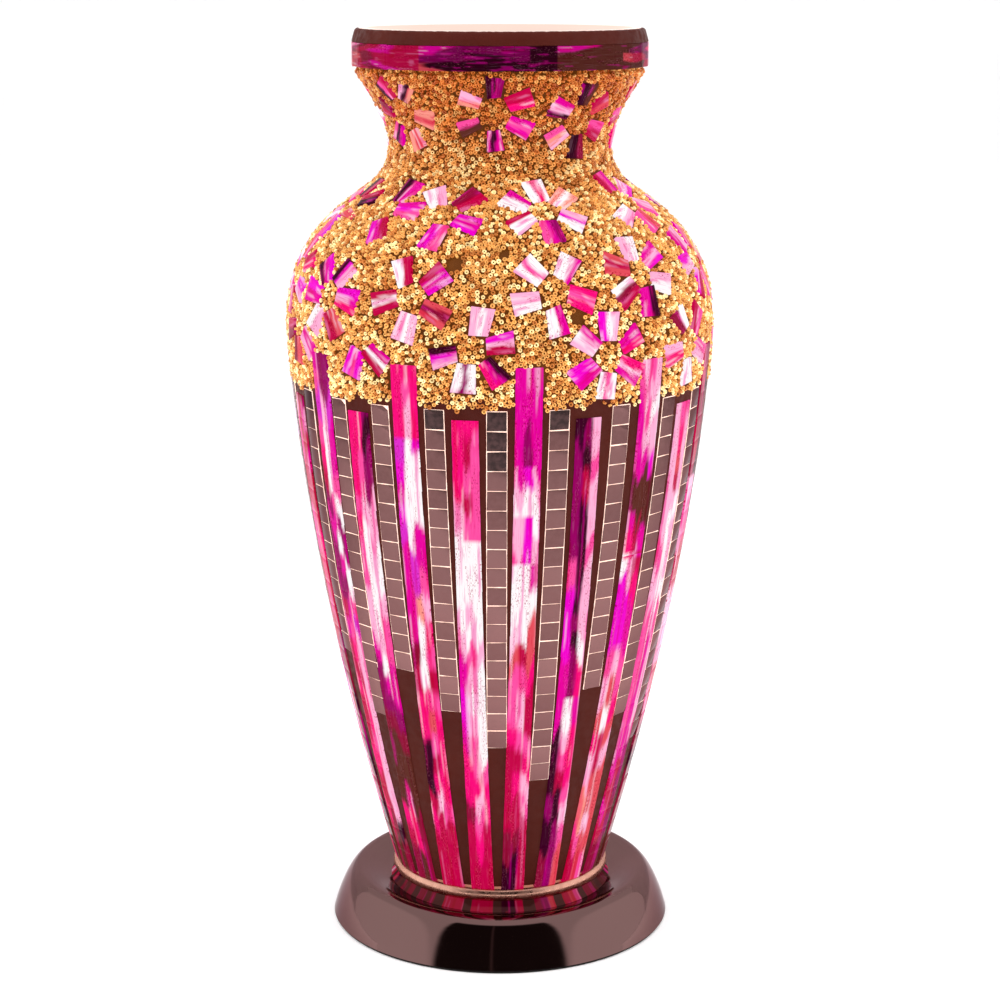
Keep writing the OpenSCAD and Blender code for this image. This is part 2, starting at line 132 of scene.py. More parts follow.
class Look(Nodes):
    """One procedural material."""

    def __init__(self, name, **shader):
        self.material = bpy.data.materials.new(name)
        self.material.use_nodes = True
        super().__init__(self.material.node_tree)
        self.shader = self.tree.nodes["Principled BSDF"]
        self.set(**shader)

    def set(self, **shader):
        for key, value in shader.items():
            self.feed(self.shader.inputs[key.replace("_", " ").title().replace("Ior", "IOR")], value)
        return self

    def attribute(self, name, output="Color"):
        return self.add("ShaderNodeAttribute", attribute_name=name).outputs[output]

    def scaled(self, vector, x, y):
        return self.add("ShaderNodeMapping", {"Vector": vector, "Scale": (x, y, 1)}).outputs[0]

    def noise(self, vector, scale=1.0, detail=3.0, roughness=0.5):
        inputs = {"Vector": vector, "Scale": scale, "Detail": detail, "Roughness": roughness}
        return self.add("ShaderNodeTexNoise", inputs).outputs["Fac"]

    def bump(self, height, strength, distance):
        inputs = {"Height": height, "Strength": strength, "Distance": distance}
        return self.set(normal=self.add("ShaderNodeBump", inputs).outputs[0])


# ---- Materials ----

# Keeps a metal from turning white where it is seen edge on
EDGE_TINT = [0.62, 0.54, 0.56, 1]


def streaky_glass():
    """Lit art glass. The tone attribute gives its bands, and the nodes add fine threads and specks."""
    look = Look("art_glass", roughness=0.12, ior=1.5, specular_ior_level=0.015)
    place = look.attribute("place", "Vector")
    color = look.attribute("tone")
    broad = look.noise(look.scaled(place, 0.35, 0.04), detail=3)
    threads = look.noise(look.scaled(place, 2.4, 0.1), detail=5, roughness=0.6)
    specks = look.noise(look.scaled(place, 3.0, 0.9), detail=4, roughness=0.6)
    deep = look.times(color, 0.8, 0.26, 0.5)
    pale = look.mix(1.0, color, [0.1, 0.06, 0.08, 1], "ADD")
    color = look.mix(look.step(threads, 0.46, 0.36, 0.0, 0.6), color, deep)
    color = look.mix(look.step(threads, 0.56, 0.66, 0.0, 0.5), color, pale)
    zone = look.step(broad, 0.49, 0.56, 0.0, 0.85)
    dark_specks = look.math("MULTIPLY", look.step(specks, 0.55, 0.6), zone)
    pale_specks = look.math("MULTIPLY", look.step(specks, 0.43, 0.38), zone)
    color = look.mix(dark_specks, color, look.times(color, 0.42, 0.03, 0.1))
    color = look.mix(pale_specks, color, look.mix(1.0, color, [0.15, 0.05, 0.06, 1], "ADD"))
    look.set(base_color=look.times(color, 0.05, 0.05, 0.05))
    look.set(emission_color=color, emission_strength=look.attribute("glow", "Fac"))
    return look.bump(look.noise(look.scaled(place, 0.5, 0.12), detail=2), 0.25, 0.0004)


def mirror_glass():
    look = Look("mirror_tiles", metallic=1.0, roughness=0.1, specular_tint=EDGE_TINT)
    place = look.attribute("place", "Vector")
    mottle = look.noise(place, 0.4, 3)
    shade = look.attribute("shade")
    look.set(base_color=look.mix(look.step(mottle, 0.3, 0.7, 0, 0.25), shade, [0.2, 0.1, 0.1, 1]))
    look.set(roughness=look.step(look.noise(place, 1.3, 4), 0.35, 0.75, 0.08, 0.2))
    return look.bump(look.noise(place, 0.25, 1), 0.15, 0.0003)


def joint_light():
    """Clear resin in the joints of the mirror columns, where the lamp's light comes through."""
    look = Look("joint_resin", roughness=0.4)
    place = look.coordinates()
    strength = look.step(look.noise(place, 260, 2), 0.3, 0.62, 0.35, 1.0)
    look.set(base_color=linear(235, 190, 170))
    color = look.mix(look.noise(place, 120, 2), linear(255, 214, 196), linear(255, 240, 228))
    return look.set(emission_color=color, emission_strength=strength)


def grout():
    look = Look("grout", roughness=0.6, specular_ior_level=0.08)
    place = look.coordinates()
    cloud = look.noise(place, 45, 4)
    look.set(base_color=look.mix(cloud, linear(56, 16, 12), linear(74, 28, 20)))
    look.set(roughness=look.step(look.noise(place, 300, 3), 0.3, 0.7, 0.42, 0.7))
    # The faint emission is a painted glow from the lamp's light
    look.set(emission_color=look.mix(cloud, linear(70, 20, 14), linear(92, 32, 24)), emission_strength=0.25)
    return look.bump(look.noise(place, 420, 5, 0.6), 0.25, 0.0003)


def adhesive():
    look = Look("bead_adhesive", roughness=0.6, specular_ior_level=0.1)
    place = look.coordinates()
    cloud = look.noise(place, 90, 4)
    look.set(base_color=look.mix(cloud, linear(40, 18, 6), linear(92, 50, 18)))
    # The faint emission is a painted glow from the lamp's light
    look.set(emission_color=look.mix(cloud, linear(96, 46, 8), linear(158, 88, 20)), emission_strength=0.32)
    return look.bump(look.noise(place, 500, 4), 0.5, 0.0004)


def gold_beads():
    look = Look("seed_beads", metallic=0.68, roughness=0.24, coat_weight=0.25, coat_roughness=0.1)
    tone = look.attribute("tone")
    mottle = look.step(look.noise(look.coordinates(), 900, 2), 0.35, 0.7, 0, 0.4)
    color = look.mix(mottle, tone, look.times(tone, 0.6, 0.42, 0.25))
    look.set(base_color=color, emission_color=color, emission_strength=look.attribute("glow", "Fac"))
    return look.bump(look.noise(look.coordinates(), 1500, 2), 0.1, 0.0001)


def metal(name, dark, light, roughness, scale):
    """A plated metal with faint cloudy variation and fine polishing marks."""
    look = Look(name, metallic=1.0, specular_tint=EDGE_TINT)
    place = look.coordinates()
    look.set(base_color=look.mix(look.noise(place, scale, 4), linear(*dark), linear(*light)))
    polish = look.noise(place, scale * 6, 4)
    look.set(roughness=look.step(polish, 0.3, 0.7, roughness * 0.7, roughness * 1.4))
    return look.bump(look.noise(place, scale * 12, 3), 0.03, 0.0001)


def plain(name, dark, light, roughness, scale, bump):
    """A dull material with cloudy colour and a fine grain."""
    look = Look(name)
    place = look.coordinates()
    look.set(base_color=look.mix(look.noise(place, scale, 4), linear(*dark), linear(*light)))
    rough = min(1, roughness * 1.2)
    look.set(roughness=look.step(look.noise(place, scale * 4, 3), 0.3, 0.7, roughness * 0.8, rough))
    return look.bump(look.noise(place, scale * 10, 4), bump, 0.0003)


def lit_glass(name, color, strength, **shader):
    """Frosted glass that glows evenly, with faint clouds."""
    look = Look(name, roughness=0.2, ior=1.5, **shader)
    cloud = look.noise(look.coordinates(), 30, 3)
    tint = look.mix(cloud, color, [min(1, c * 1.12) for c in color[:3]] + [1])
    look.set(base_color=look.times(tint, 0.3, 0.3, 0.3))
    look.set(emission_color=tint, emission_strength=strength)
    return look.bump(look.noise(look.coordinates(), 60, 2), 0.1, 0.0004)


def polished_cup():
    """Nickel painted dark as a painted dark reflection, with a faint glow in the strips' colours that is a
    painted reflection of the glass above it.
    """
    look = metal("polished_cup", (36, 20, 20), (46, 28, 28), 0.1, 14)
    return look.set(emission_color=look.attribute("tone"), emission_strength=0.55)


# For each metal: its darker and lighter colour, its roughness, and how many clouds it has in a metre
METALS = {
    "black_nickel": [(112, 84, 82), (119, 90, 88), 0.06, 14],
    # The copper ring's tone is partly a painted reflection of the lamp's warm light on plated metal
    "copper_ring": [(198, 134, 114), (228, 178, 158), 0.3, 60],
    "zinc_steel": [(176, 178, 184), (206, 206, 208), 0.3, 80],
    "contact_brass": [(196, 160, 84), (222, 190, 116), 0.28, 90],
    "bulb_metal": [(190, 190, 194), (214, 214, 216), 0.3, 90],
}
# The same for each dull material, and the strength of its grain
DULL = {
    "cast_weight": [(52, 52, 54), (84, 82, 80), 0.7, 160, 0.5],
    "black_board": [(26, 24, 24), (44, 40, 38), 0.8, 300, 0.3],
    "felt": [(14, 13, 13), (34, 31, 30), 0.95, 900, 0.8],
    "black_plastic": [(20, 20, 20), (34, 33, 32), 0.35, 120, 0.1],
    "seal_rubber": [(22, 22, 22), (38, 36, 35), 0.8, 200, 0.3],
    "holder_plastic": [(24, 20, 19), (40, 34, 32), 0.3, 120, 0.1],
    "porcelain": [(228, 222, 210), (240, 236, 226), 0.25, 60, 0.05],
    "black_glass": [(14, 14, 18), (30, 30, 36), 0.15, 60, 0.05],
}
LOOKS = {
    "cup": polished_cup(),
    "art_glass": streaky_glass(),
    "mirror": mirror_glass(),
    "joint": joint_light(),
    "grout": grout(),
    "adhesive": adhesive(),
    "beads": gold_beads(),
    "vase_glass": lit_glass("vase_glass", linear(238, 212, 200), 0.8, specular_ior_level=0.1),
    "bulb_opal": lit_glass("bulb_opal", linear(255, 234, 206), 0.5),
}
LOOKS |= {name: metal(name, *values) for name, values in METALS.items()}
LOOKS |= {name: plain(name, *values) for name, values in DULL.items()}


# ---- Reading the CAD frame ----


def corners_of(node):
    """The eight corner points of each separate flat piece in a CAD node."""
    mesh = frame["nodes"][node].data
    points = np.zeros(len(mesh.vertices) * 3)
    mesh.vertices.foreach_get("co", points)
    corner, index = np.unique(np.round(points.reshape(-1, 3), 6), axis=0, return_inverse=True)
    index = index.ravel()
    group = np.arange(len(corner))

    def root(i):
        while group[i] != i:
            group[i] = group[group[i]]
            i = group[i]
        return i

    for polygon in mesh.polygons:
        ids = [root(index[v]) for v in polygon.vertices]
        for other in ids[1:]:
            group[other] = ids[0]
            ids = [root(i) for i in ids]
    roots = np.array([root(i) for i in range(len(corner))])
    return [corner[roots == r] for r in np.unique(roots)]


class Tile:
    """A flat CAD piece: where it is, which way it faces, and the outline of its outer face as [x, y]
    points. x runs round the vase, y runs up it, and out points away from it."""

    def __init__(self, points):
        middle = points.mean(0)
        _, axes = np.linalg.eigh(np.cov((points - middle).T))
        out = axes[:, 0]
        out = out if out[:2] @ middle[:2] > 0 else -out
        azimuth = math.atan2(out[0], -out[1])
        self.out = out
        self.right = np.array([math.cos(azimuth), math.sin(azimuth), 0.0])
        self.up = np.cross(out, self.right)
        depth = (points - middle) @ out
        self.thickness = np.ptp(depth)
        self.middle = middle + out * depth.max()
        face = points[depth > 0] - middle
        flat = np.stack([face @ self.right, face @ self.up], 1)
        turn = np.arctan2(flat[:, 1], flat[:, 0])
        self.outline = flat[np.argsort(turn)]
        self.azimuth = math.degrees(math.atan2(self.middle[0], -self.middle[1]))
        self.z = self.middle[2]

    def at(self, flat, depth):
        """The place of [x, y] points on this piece, at a depth below its outer face."""
        flat = np.asarray(flat)
        return self.middle + flat[:, :1] * self.right + flat[:, 1:2] * self.up - depth * self.out


def tiles_of(node):
    return [Tile(points) for points in corners_of(node)]


def unit(vector):
    return vector / norm(vector)


def unit_rows(vectors):
    return vectors / norm(vectors, axis=-1, keepdims=True)


def outward(line):
    """The directions out of a line of [radius, height] points that runs up."""
    along = np.gradient(line, axis=0)
    return unit_rows(np.stack([along[:, 1], -along[:, 0]], 1))


def turned_points(node, wanted):
    """The radius and height of the corners of a turned CAD node's faces. wanted picks the faces from their
    middle, and from how far they face away from the axis and up."""
    mesh = frame["nodes"][node].data
    for polygon in mesh.polygons:
        c, n = polygon.center, polygon.normal
        if wanted(c, (n.x * c.x + n.y * c.y) / math.hypot(c.x, c.y), n.z):
            for v in polygon.vertices:
                co = mesh.vertices[v].co
                yield math.hypot(co.x, co.y), co.z


def outer_profile(node, depth):
    """[radius, height] up the outside of a turned CAD node, moved outwards by depth."""
    rings = {round(z, 5): r for r, z in turned_points(node, lambda middle, away, up: away > 0.2)}
    line = np.array([[r, z] for z, r in sorted(rings.items())])
    return line + outward(line) * depth


# The mosaic's outside, from its foot to the rim band
GROUT_DEPTH = 2.2 * MM
BEAD_BED_DEPTH = 0.3 * MM
lower_skin = outer_profile("grout_coat", GROUT_DEPTH)
upper_skin = outer_profile("bead_bed", BEAD_BED_DEPTH)
bed_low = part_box("bead_bed")[0].z
rim_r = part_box("rim_edge")[1].x
rim_tile_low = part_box("rim_tiles")[0].z
under_rim = [[rim_r - 1.3 * MM, rim_tile_low + 0.2 * MM]]
skin = np.vstack([lower_skin[lower_skin[:, 1] < bed_low - 2 * MM], upper_skin, under_rim])


def smooth_line(points, n):
    """n points on a smooth curve through the given points."""
    t = np.r_[0, np.cumsum(norm(np.diff(points, axis=0), axis=1))]
    slope = np.gradient(points, t, axis=0)
    u = np.linspace(0, t[-1], n)
    i = np.clip(np.searchsorted(t, u, side="right") - 1, 0, len(t) - 2)
    h = (t[i + 1] - t[i])[:, None]
    f = ((u - t[i]) / h[:, 0])[:, None]
    a, b = points[i], points[i + 1]
    return (
        (2 * f**3 - 3 * f**2 + 1) * a
        + (f**3 - 2 * f**2 + f) * h * slope[i]
        + (3 * f**2 - 2 * f**3) * b
        + (f**3 - f**2) * h * slope[i + 1]
    )


skin = smooth_line(skin, 400)


def radius_at(z):
    return np.interp(z, skin[:, 1], skin[:, 0])


def skin_place(azimuth, z):
    """Points on the skin and the directions out of it, for azimuths in degrees and heights."""
    r = radius_at(z)
    slope = (radius_at(z + MM) - radius_at(z - MM)) / (2 * MM)
    a = np.radians(azimuth)
    round_out = np.stack([np.sin(a), -np.cos(a), np.zeros_like(a)], -1)
    point = round_out * np.asarray(r)[..., None] + UP * np.asarray(z)[..., None]
    return point, unit_rows(round_out - UP * np.asarray(slope)[..., None])


# ---- Making pieces ----

ATTRIBUTE_KINDS = {1: ("FLOAT", "value"), 3: ("FLOAT_VECTOR", "vector"), 4: ("FLOAT_COLOR", "color")}


def new_object(name, data):
    made = bpy.data.objects.new(name, data)
    bpy.context.scene.collection.objects.link(made)
    return made


def make_piece(name, points, faces, look, replaces=(), slot=None, body="lamp", attributes=None, sharp=40):
    """A mesh piece that rides on a CAD body. look is a name in LOOKS, and attributes are one value, vector or
    colour for each point."""
    mesh = bpy.data.meshes.new(name)
    points = np.asarray(points, dtype=np.float32)
    sizes = np.array([len(f) for f in faces])
    loops = faces.ravel() if isinstance(faces, np.ndarray) else np.hstack(faces)
    mesh.vertices.add(len(points))
    mesh.vertices.foreach_set("co", points.ravel())
    mesh.loops.add(len(loops))
    mesh.loops.foreach_set("vertex_index", loops.astype(np.int32))
    mesh.polygons.add(len(sizes))
    mesh.polygons.foreach_set("loop_start", (np.cumsum(sizes) - sizes).astype(np.int32))
    mesh.update(calc_edges=True)
    mesh.validate()
    for key, values in (attributes or {}).items():
        values = np.asarray(values, dtype=np.float32)
        kind, field = ATTRIBUTE_KINDS[1 if values.ndim == 1 else values.shape[1]]
        mesh.attributes.new(key, kind, "POINT").data.foreach_set(field, values.ravel())
    mesh.shade_smooth()
    if sharp:
        mesh.set_sharp_from_angle(angle=math.radians(sharp))
    mesh.materials.append(LOOKS[look].material)
    piece = new_object(name, mesh)
    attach(piece, body)
    if replaces:
        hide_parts(*replaces)
    return piece


def turned_faces(segments, n):
    """The faces of a closed outline of n points that is turned round in segments."""
    i, j = np.meshgrid(np.arange(segments), np.arange(n), indexing="ij")
    i2, j2 = (i + 1) % segments, (j + 1) % n
    return np.stack([i * n + j, i2 * n + j, i2 * n + j2, i * n + j2], -1).reshape(-1, 4)


def lathe(name, outline, look, segments=288, ripple=None, tone=None, **piece):
    """A solid of revolution from a closed outline of [radius, height] points, with an optional ripple and
    optional tones from azimuths in degrees and heights."""
    outline = np.asarray(outline)
    n = len(outline)
    a = np.arange(segments) * 2 * math.pi / segments
    r = np.repeat(outline[None, :, 0], segments, 0)
    z = np.repeat(outline[None, :, 1], segments, 0)
    if ripple is not None:
        r, z = ripple(r, z, a[:, None])
    points = np.stack([r * np.sin(a)[:, None], -r * np.cos(a)[:, None], z], -1).reshape(-1, 3)
    if tone:
        piece["attributes"] = {"tone": tone(np.degrees(np.repeat(a, n)), z.ravel())}
    return make_piece(name, points, turned_faces(segments, n), look, **piece)


def corners(outline):
    """Each corner of an outline, between the one before it and the one after it."""
    return list(zip(np.roll(outline, 1, 0), outline, np.roll(outline, -1, 0)))


def inward(side):
    """The direction into an outline from one of its sides."""
    along = unit(side)
    return np.array([-along[1], along[0]])


def inset_outline(outline, d):
    """A convex outline with its sides moved inwards by d."""
    result = []
    for p, q, s in corners(outline):
        n1, n2 = inward(q - p), inward(s - q)
        result.append(q + d * (n1 + n2) / (1 + n1 @ n2))
    return np.array(result)


def nipped(corner, cut, cut_after):
    """Two points in place of a corner, each at its distance from it."""
    p, q, s = corner
    return [q + unit(p - q) * cut, q + unit(s - q) * cut_after]


def rounded(outline, r):
    """An outline with each corner replaced by two points."""
    return np.vstack([nipped(corner, r, r) for corner in corners(outline)])


class Slabs:
    """Many small flat glass pieces with ground edges, gathered into one mesh."""

    def __init__(self):
        self.points, self.faces, self.attributes, self.count = [], [], {}, 0

    def add(self, tile, outline, bevel, depth, thickness, **values):
        """values are one number, colour or vector for the piece, or a function of its [x, y] points."""
        outline = rounded(outline, bevel)
        n = len(outline)
        rings = [(0.0, thickness), (0.0, bevel), (0.3 * bevel, 0.3 * bevel), (bevel, 0.0)]
        flats = [inset_outline(outline, inset) for inset, _ in rings]
        for flat, (_, low) in zip(flats, rings):
            self.points.append(tile.at(flat, depth + low))
        base = self.count
        for ring in range(len(rings) - 1):
            a, b = base + ring * n, base + (ring + 1) * n
            self.faces += [[a + k, a + (k + 1) % n, b + (k + 1) % n, b + k] for k in range(n)]
        top = base + (len(rings) - 1) * n
        self.faces += [[top + k for k in range(n)], [base + k for k in range(n - 1, -1, -1)]]
        flat = np.vstack(flats)
        for key, value in values.items():
            if not callable(value):
                value = np.repeat(np.atleast_2d(value), len(flat), 0)
            self.keep(key, value(flat) if callable(value) else value)
        self.count += len(flat)

    def keep(self, key, values):
        self.attributes.setdefault(key, []).append(values)

    def add_patch(self, tile, outline, bevel, cells, tone, seed, glow, depth=0.0, along=0.0):
        """A four-sided piece whose outer face is a grid. Its first side is where v, the way along the
        streaks, starts. tone gives the colours from millimetres across and along."""
        nu, nv = cells
        u = np.r_[np.arange(nu), np.full(nv, nu), np.arange(nu, 0, -1), np.zeros(nv)] / nu
        v = np.r_[np.zeros(nu), np.arange(nv), np.full(nu, nv), np.arange(nv, 0, -1)] / nv
        gu, gv = (g.ravel() / k for g, k in zip(np.meshgrid(np.arange(nu + 1), np.arange(nv + 1)), cells))
        width = norm((outline[1] + outline[2] - outline[0] - outline[3]) / 2) / MM
        length = norm((outline[2] + outline[3] - outline[0] - outline[1]) / 2) / MM

        def patch(c, s, t):
            s, t = s[:, None], t[:, None]
            return (1 - t) * ((1 - s) * c[0] + s * c[1]) + t * ((1 - s) * c[3] + s * c[2])

        rings = [(0.0, tile.thickness), (0.0, bevel), (0.3 * bevel, 0.3 * bevel)]
        inner = inset_outline(outline, bevel)
        for inset, low in rings:
            self.points.append(tile.at(patch(inset_outline(outline, inset), u, v), depth + low))
        self.points.append(tile.at(patch(inner, gu, gv), depth))
        n, base = len(u), self.count
        row = nu + 1
        border = np.round(u * nu).astype(int) + np.round(v * nv).astype(int) * row + 3 * n
        loops = [np.arange(n), np.arange(n) + n, np.arange(n) + 2 * n, border]
        for a, b in zip(loops, loops[1:]):
            quads = np.stack([a, np.roll(a, -1), np.roll(b, -1), b], 1)
            self.faces += (quads + base).tolist()
        i, j = (g.ravel() for g in np.meshgrid(np.arange(nu), np.arange(nv)))
        first = 3 * n + base + i + j * row
        self.faces += np.stack([first, first + 1, first + 1 + row, first + row], 1).tolist()
        self.faces.append((base + np.arange(n - 1, -1, -1)).tolist())
        across = np.r_[u, u, u, gu] * width - width / 2
        up = np.r_[v, v, v, gv] * length + along
        self.keep("place", np.stack([across, up, np.full(len(up), seed)], 1))
        self.keep("tone", tone(across, up))
        self.keep("glow", np.full((len(up), 1), glow))
        self.count += len(up)

    def finish(self, name, look, **piece):
        attributes = {}
        for key, parts in self.attributes.items():
            whole = np.vstack(parts)
            attributes[key] = whole[:, 0] if whole.shape[1] == 1 else whole
        points = np.vstack(self.points)
        return make_piece(name, points, self.faces, look, attributes=attributes, **piece)


def jittered(outline, amount):
    """A hand-cut version of an outline: each corner is off by a little."""
    return np.asarray(outline) + rng.uniform(-amount, amount, (len(outline), 2))


def place_values(seed):
    """Places in millimetres across and along a piece, each with the piece's own seed."""
    return lambda flat: np.column_stack([flat / MM, np.full(len(flat), seed)])


# ---- The bands of tone in the art glass ----


def soft_step(x, low, high):
    t = np.clip((x - low) / (high - low), 0, 1)
    return t * t * (3 - 2 * t)


def wander(seed, x, y, step_x, step_y):
    """A smooth random field from about -1 to 1 that changes over step_x across and step_y along."""
    knots = np.random.default_rng(seed).uniform(-1, 1, (64, 64))
    u, v = np.asarray(x) / step_x + 32, np.asarray(y) / step_y + 8
    i, j = np.floor(u).astype(int), np.floor(v).astype(int)
    f, g = soft_step(u - i, 0, 1), soft_step(v - j, 0, 1)
    low = knots[i % 64, j % 64] * (1 - f) + knots[(i + 1) % 64, j % 64] * f
    high = knots[i % 64, (j + 1) % 64] * (1 - f) + knots[(i + 1) % 64, (j + 1) % 64] * f
    return low * (1 - g) + high * g


def run_of_tones(letters, step, downwards=False):
    """The colour at a distance along a run of tones, where each letter lasts for one step."""
    colors = np.array([TONES[letter] for letter in letters])

    def color(distance):
        k = np.clip((-distance if downwards else distance) / step, 0, len(letters) - 1.001)
        i = np.floor(k).astype(int)
        f = soft_step(k - i, 0.3, 0.7)[:, None]
        return colors[i] * (1 - f) + colors[i + 1] * f

    return color


WHITE, MAGENTA = np.array(TONES["w"]), np.array(TONES["m"])
DEEPER = np.array([0.9, 0.24, 0.55, 1])


def paler(color):
    """The pale streak in a tone: white in light glass, and magenta in dark glass."""
    light = soft_step(color[:, :1], 0.35, 0.95)
    return 0.35 * color + 0.65 * (WHITE * light + MAGENTA * (1 - light))


def patches(seed, x, y, cell, low, high, most):
    """How much of a streak is at each place, from none to most."""
    return soft_step(wander(seed, x, y, *cell), low, high)[:, None] * most


def streaked(color, pale, deep):
    color = color * (1 - pale) + paler(color) * pale
    return color * (1 - deep) + color * DEEPER * deep


def banded(runs, seed, half=1.7, flame=8.0, streak=(0.85, 28), pins=()):
    """Art glass with a run of tones at its left, its middle and its right, which lick into each other in
    long flames with paler and deeper streaks. A pin is a [height, last, next] cut, where one piece of glass
    ends on its last tone and another starts on its next."""

    def tone(x, y):
        h = y + flame * wander(seed, x, y, 2.6, 40) + 2.0 * wander(seed + 1, x, y, 0.9, 9)
        for cut, last, following in pins:
            h = np.where(y >= cut, np.maximum(h, last), np.minimum(h, following))
        shift = 1.0 * wander(seed + 2, x * 0, y, 1, 26) + 0.7 * wander(seed + 3, x, y, 1.2, 12)
        colors = [run(h) for run in runs]
        color = colors[0]
        for border, following in zip((-half, half), colors[1:]):
            side = soft_step(x + shift - border, -0.45, 0.45)[:, None]
            color = color * (1 - side) + following * side
        pale = patches(seed + 4, x, y, streak, 0.5, 0.75, 0.6)
        return streaked(color, pale, patches(seed + 5, x, y, streak, 0.4, 0.65, 0.85))

    return tone


# ---- Coloured strips ----

# Tones down the left, middle and right of each front strip, one letter per 10 mm from 258 mm down
STRIP_TOP = 258.0
STRIP_STEP = 10.0
FRONT_STRIPS = [
    ("ccrlppccppccccullplpprc", "ccrccccchhhmcurrcrrrrdd", "uurmcmccchccurrdrddrdbb"),
    ("mpvphcumuuucmcchcchchcr", "uulwwwpmwmumphchhphccrb", "uuvmmpwuuwwpvlllllllldr"),
    ("hhhhhhphppllmuuurbbbhcr", "hhhhpplwwwwwlwmurbbmhhb", "uuuduullwwlppmmurbbbrrr"),
    ("hhhvfmfvmmmmrchhdddchcc", "hplwwwwwvvowwwhspchlccc", "hhhfwwwmmplhpcphhhhhpcc"),
    ("hhhhhhlwwwwlmmffmhhhrcc", "hhhcpcppwwlwplwlpphlphc", "hhhpppppwwwwlwwwwwphhcc"),
    ("mmmmmlwlpwwlsppphcccrrd", "mmmuffwffwwwcpllpchccrd", "mmmmmlwwlmwsshccphlpccc"),
    ("dddduuuuupfffmmmddduddr", "dddudcddddduduuwlpcdduu", "llllplllplllwhhmhhhplps"),
    ("lpmmmbbmhwfffplshlloopc", "plplmbbchlffflswccsslss", "llwllfbbmchmmpphslssssp"),
    ("lllllllllplppppppmmcmcr", "ppphsclwwwwwlmmmmmccccr", "ppplllwlllwpplllmuuurub"),
    ("ccrrcrlpplcllpcprrdrrrb", "rcrrcrlppccllpccprrdrrb", "rrdrrdlppcclllccrddrdbb"),
]
# Heights where a front strip changes abruptly from one length of glass to the next
STRIP_CUTS = {1: [251], 3: [229], 4: [187], 5: [219, 197, 177], 6: [116], 7: [176.5], 9: [202, 119]}
STRIP_PAIRS = 11
STRIP_LETTERS = len(FRONT_STRIPS[0][0])
STRIP_CELLS = (14, 5)
STRIP_STRETCH = 1.022
GLASS_BEVEL = 0.16 * MM
# How far off the corners of hand-cut strips and rim tiles are, and how unevenly strips lie, in and out
HAND_CUT, UNEVEN_DEPTH = 0.1 * MM, 0.04
MADE_UP_CUTS = (120, 230)
STRIP_GLOW = 0.98
STRIP_TONES = list("wwllpphhmmmffuudccvsb")
strip_nodes = [f"strip_pair_{pair + 1:02d}" for pair in range(STRIP_PAIRS)]
strip_tiles = {node: tiles_of(node) for node in strip_nodes}


def made_up_tones():
    """A run of tones for a strip on the back: each lasts for a few letters."""
    letters = ""
    while len(letters) < STRIP_LETTERS:
        letters += str(rng.choice(STRIP_TONES)) * int(rng.integers(1, 5))
    return letters[:STRIP_LETTERS]


UP_THE_PIECE, ROUND_THE_LAMP = np.array([0, 1.0]), np.array([1.0, 0])


def first_side(outline, direction):
    """The outline turned so that its first side is the one furthest back along a direction."""
    middle = [(p + q) @ direction for p, q in zip(outline, np.roll(outline, -1, 0))]
    return np.roll(outline, -int(np.argmin(middle)), 0)


strip_feet = []


def build_strips(pair, node):
    slabs = Slabs()
    ordered = sorted(strip_tiles[node], key=lambda t: t.azimuth)
    gap = int(np.argmax(np.diff([t.azimuth for t in ordered]))) + 1
    both = [ordered[:gap], ordered[gap:]]
    both.sort(key=lambda tiles: abs(tiles[0].azimuth))
    for side, tiles in enumerate(both):
        front = side == 0 and pair < len(FRONT_STRIPS)
        letters = FRONT_STRIPS[pair] if front else [made_up_tones() for _ in range(3)]
        cuts = STRIP_CUTS.get(pair, []) if front else rng.uniform(*MADE_UP_CUTS, 2)
        seed = 10 * (pair + STRIP_PAIRS * side) + 100
        runs = [run_of_tones(t, STRIP_STEP, downwards=True) for t in letters]
        pins = []
        for cut in cuts:
            k = math.floor((STRIP_TOP - cut) / STRIP_STEP)
            pins.append([cut - STRIP_TOP, -STRIP_STEP * k, -STRIP_STEP * (k + 1)])
        bands = banded(runs, seed, pins=pins)
        strip_feet.append((min(tiles, key=lambda t: t.z).azimuth, bands))
        for tile in tiles:
            outline = first_side(tile.outline * [1, STRIP_STRETCH], UP_THE_PIECE)
            length = np.ptp(outline[:, 1]) / MM
            slabs.add_patch(
                tile, jittered(outline, HAND_CUT), GLASS_BEVEL, STRIP_CELLS, bands, seed, STRIP_GLOW,
                depth=rng.uniform(-UNEVEN_DEPTH, UNEVEN_DEPTH) * MM,
                along=tile.z / MM - STRIP_TOP - length / 2,
            )
    slabs.finish(f"strips_{pair + 1:02d}", "art_glass", replaces=[node], slot=SLOT_OF[node])


for pair, node in enumerate(strip_tiles):
    build_strips(pair, node)


# ---- Mirror columns ----

MIRROR_SHADES = [linear(118, 82, 81), linear(124, 87, 86), linear(112, 77, 76), linear(130, 92, 91)]
# The colour of dark tiles: a painted dark reflection at the top of the front columns, and a few stray dark
# tiles
DARK_MIRROR = linear(54, 42, 42)
# Painted shade: the tiles at the top are darker by this much, and get lighter over so many tiles down
TOP_PAINTED_SHADE, SHADE_STEP, SHADE_STEPS = 0.72, 0.028, 14
MIRROR_PITCH = 8.2 * MM
MIRROR_TILT = 0.007
# The share of dark tiles in any column
STRAY_DARK = 0.012
# Columns within so many degrees of the front get a painted dark reflection for so many tiles down from the
# top
FRONT_WIDTH, DARK_DOWN, DARK_DOWN_MIDDLE = 22, 1.2, 2.8
# How far off the mirrors' corners are, and the share and size of nipped corners at the tops of columns
MIRROR_CUT, NIPPED_SHARE, NIP = 0.12 * MM, 0.6, (0.8, 2.2)
# The joints' glow shows all round each tile, by this share of its width and height
JOINT_SHOWN = np.array([0.45, 0.42]) / 7.8
mirror_tiles = []


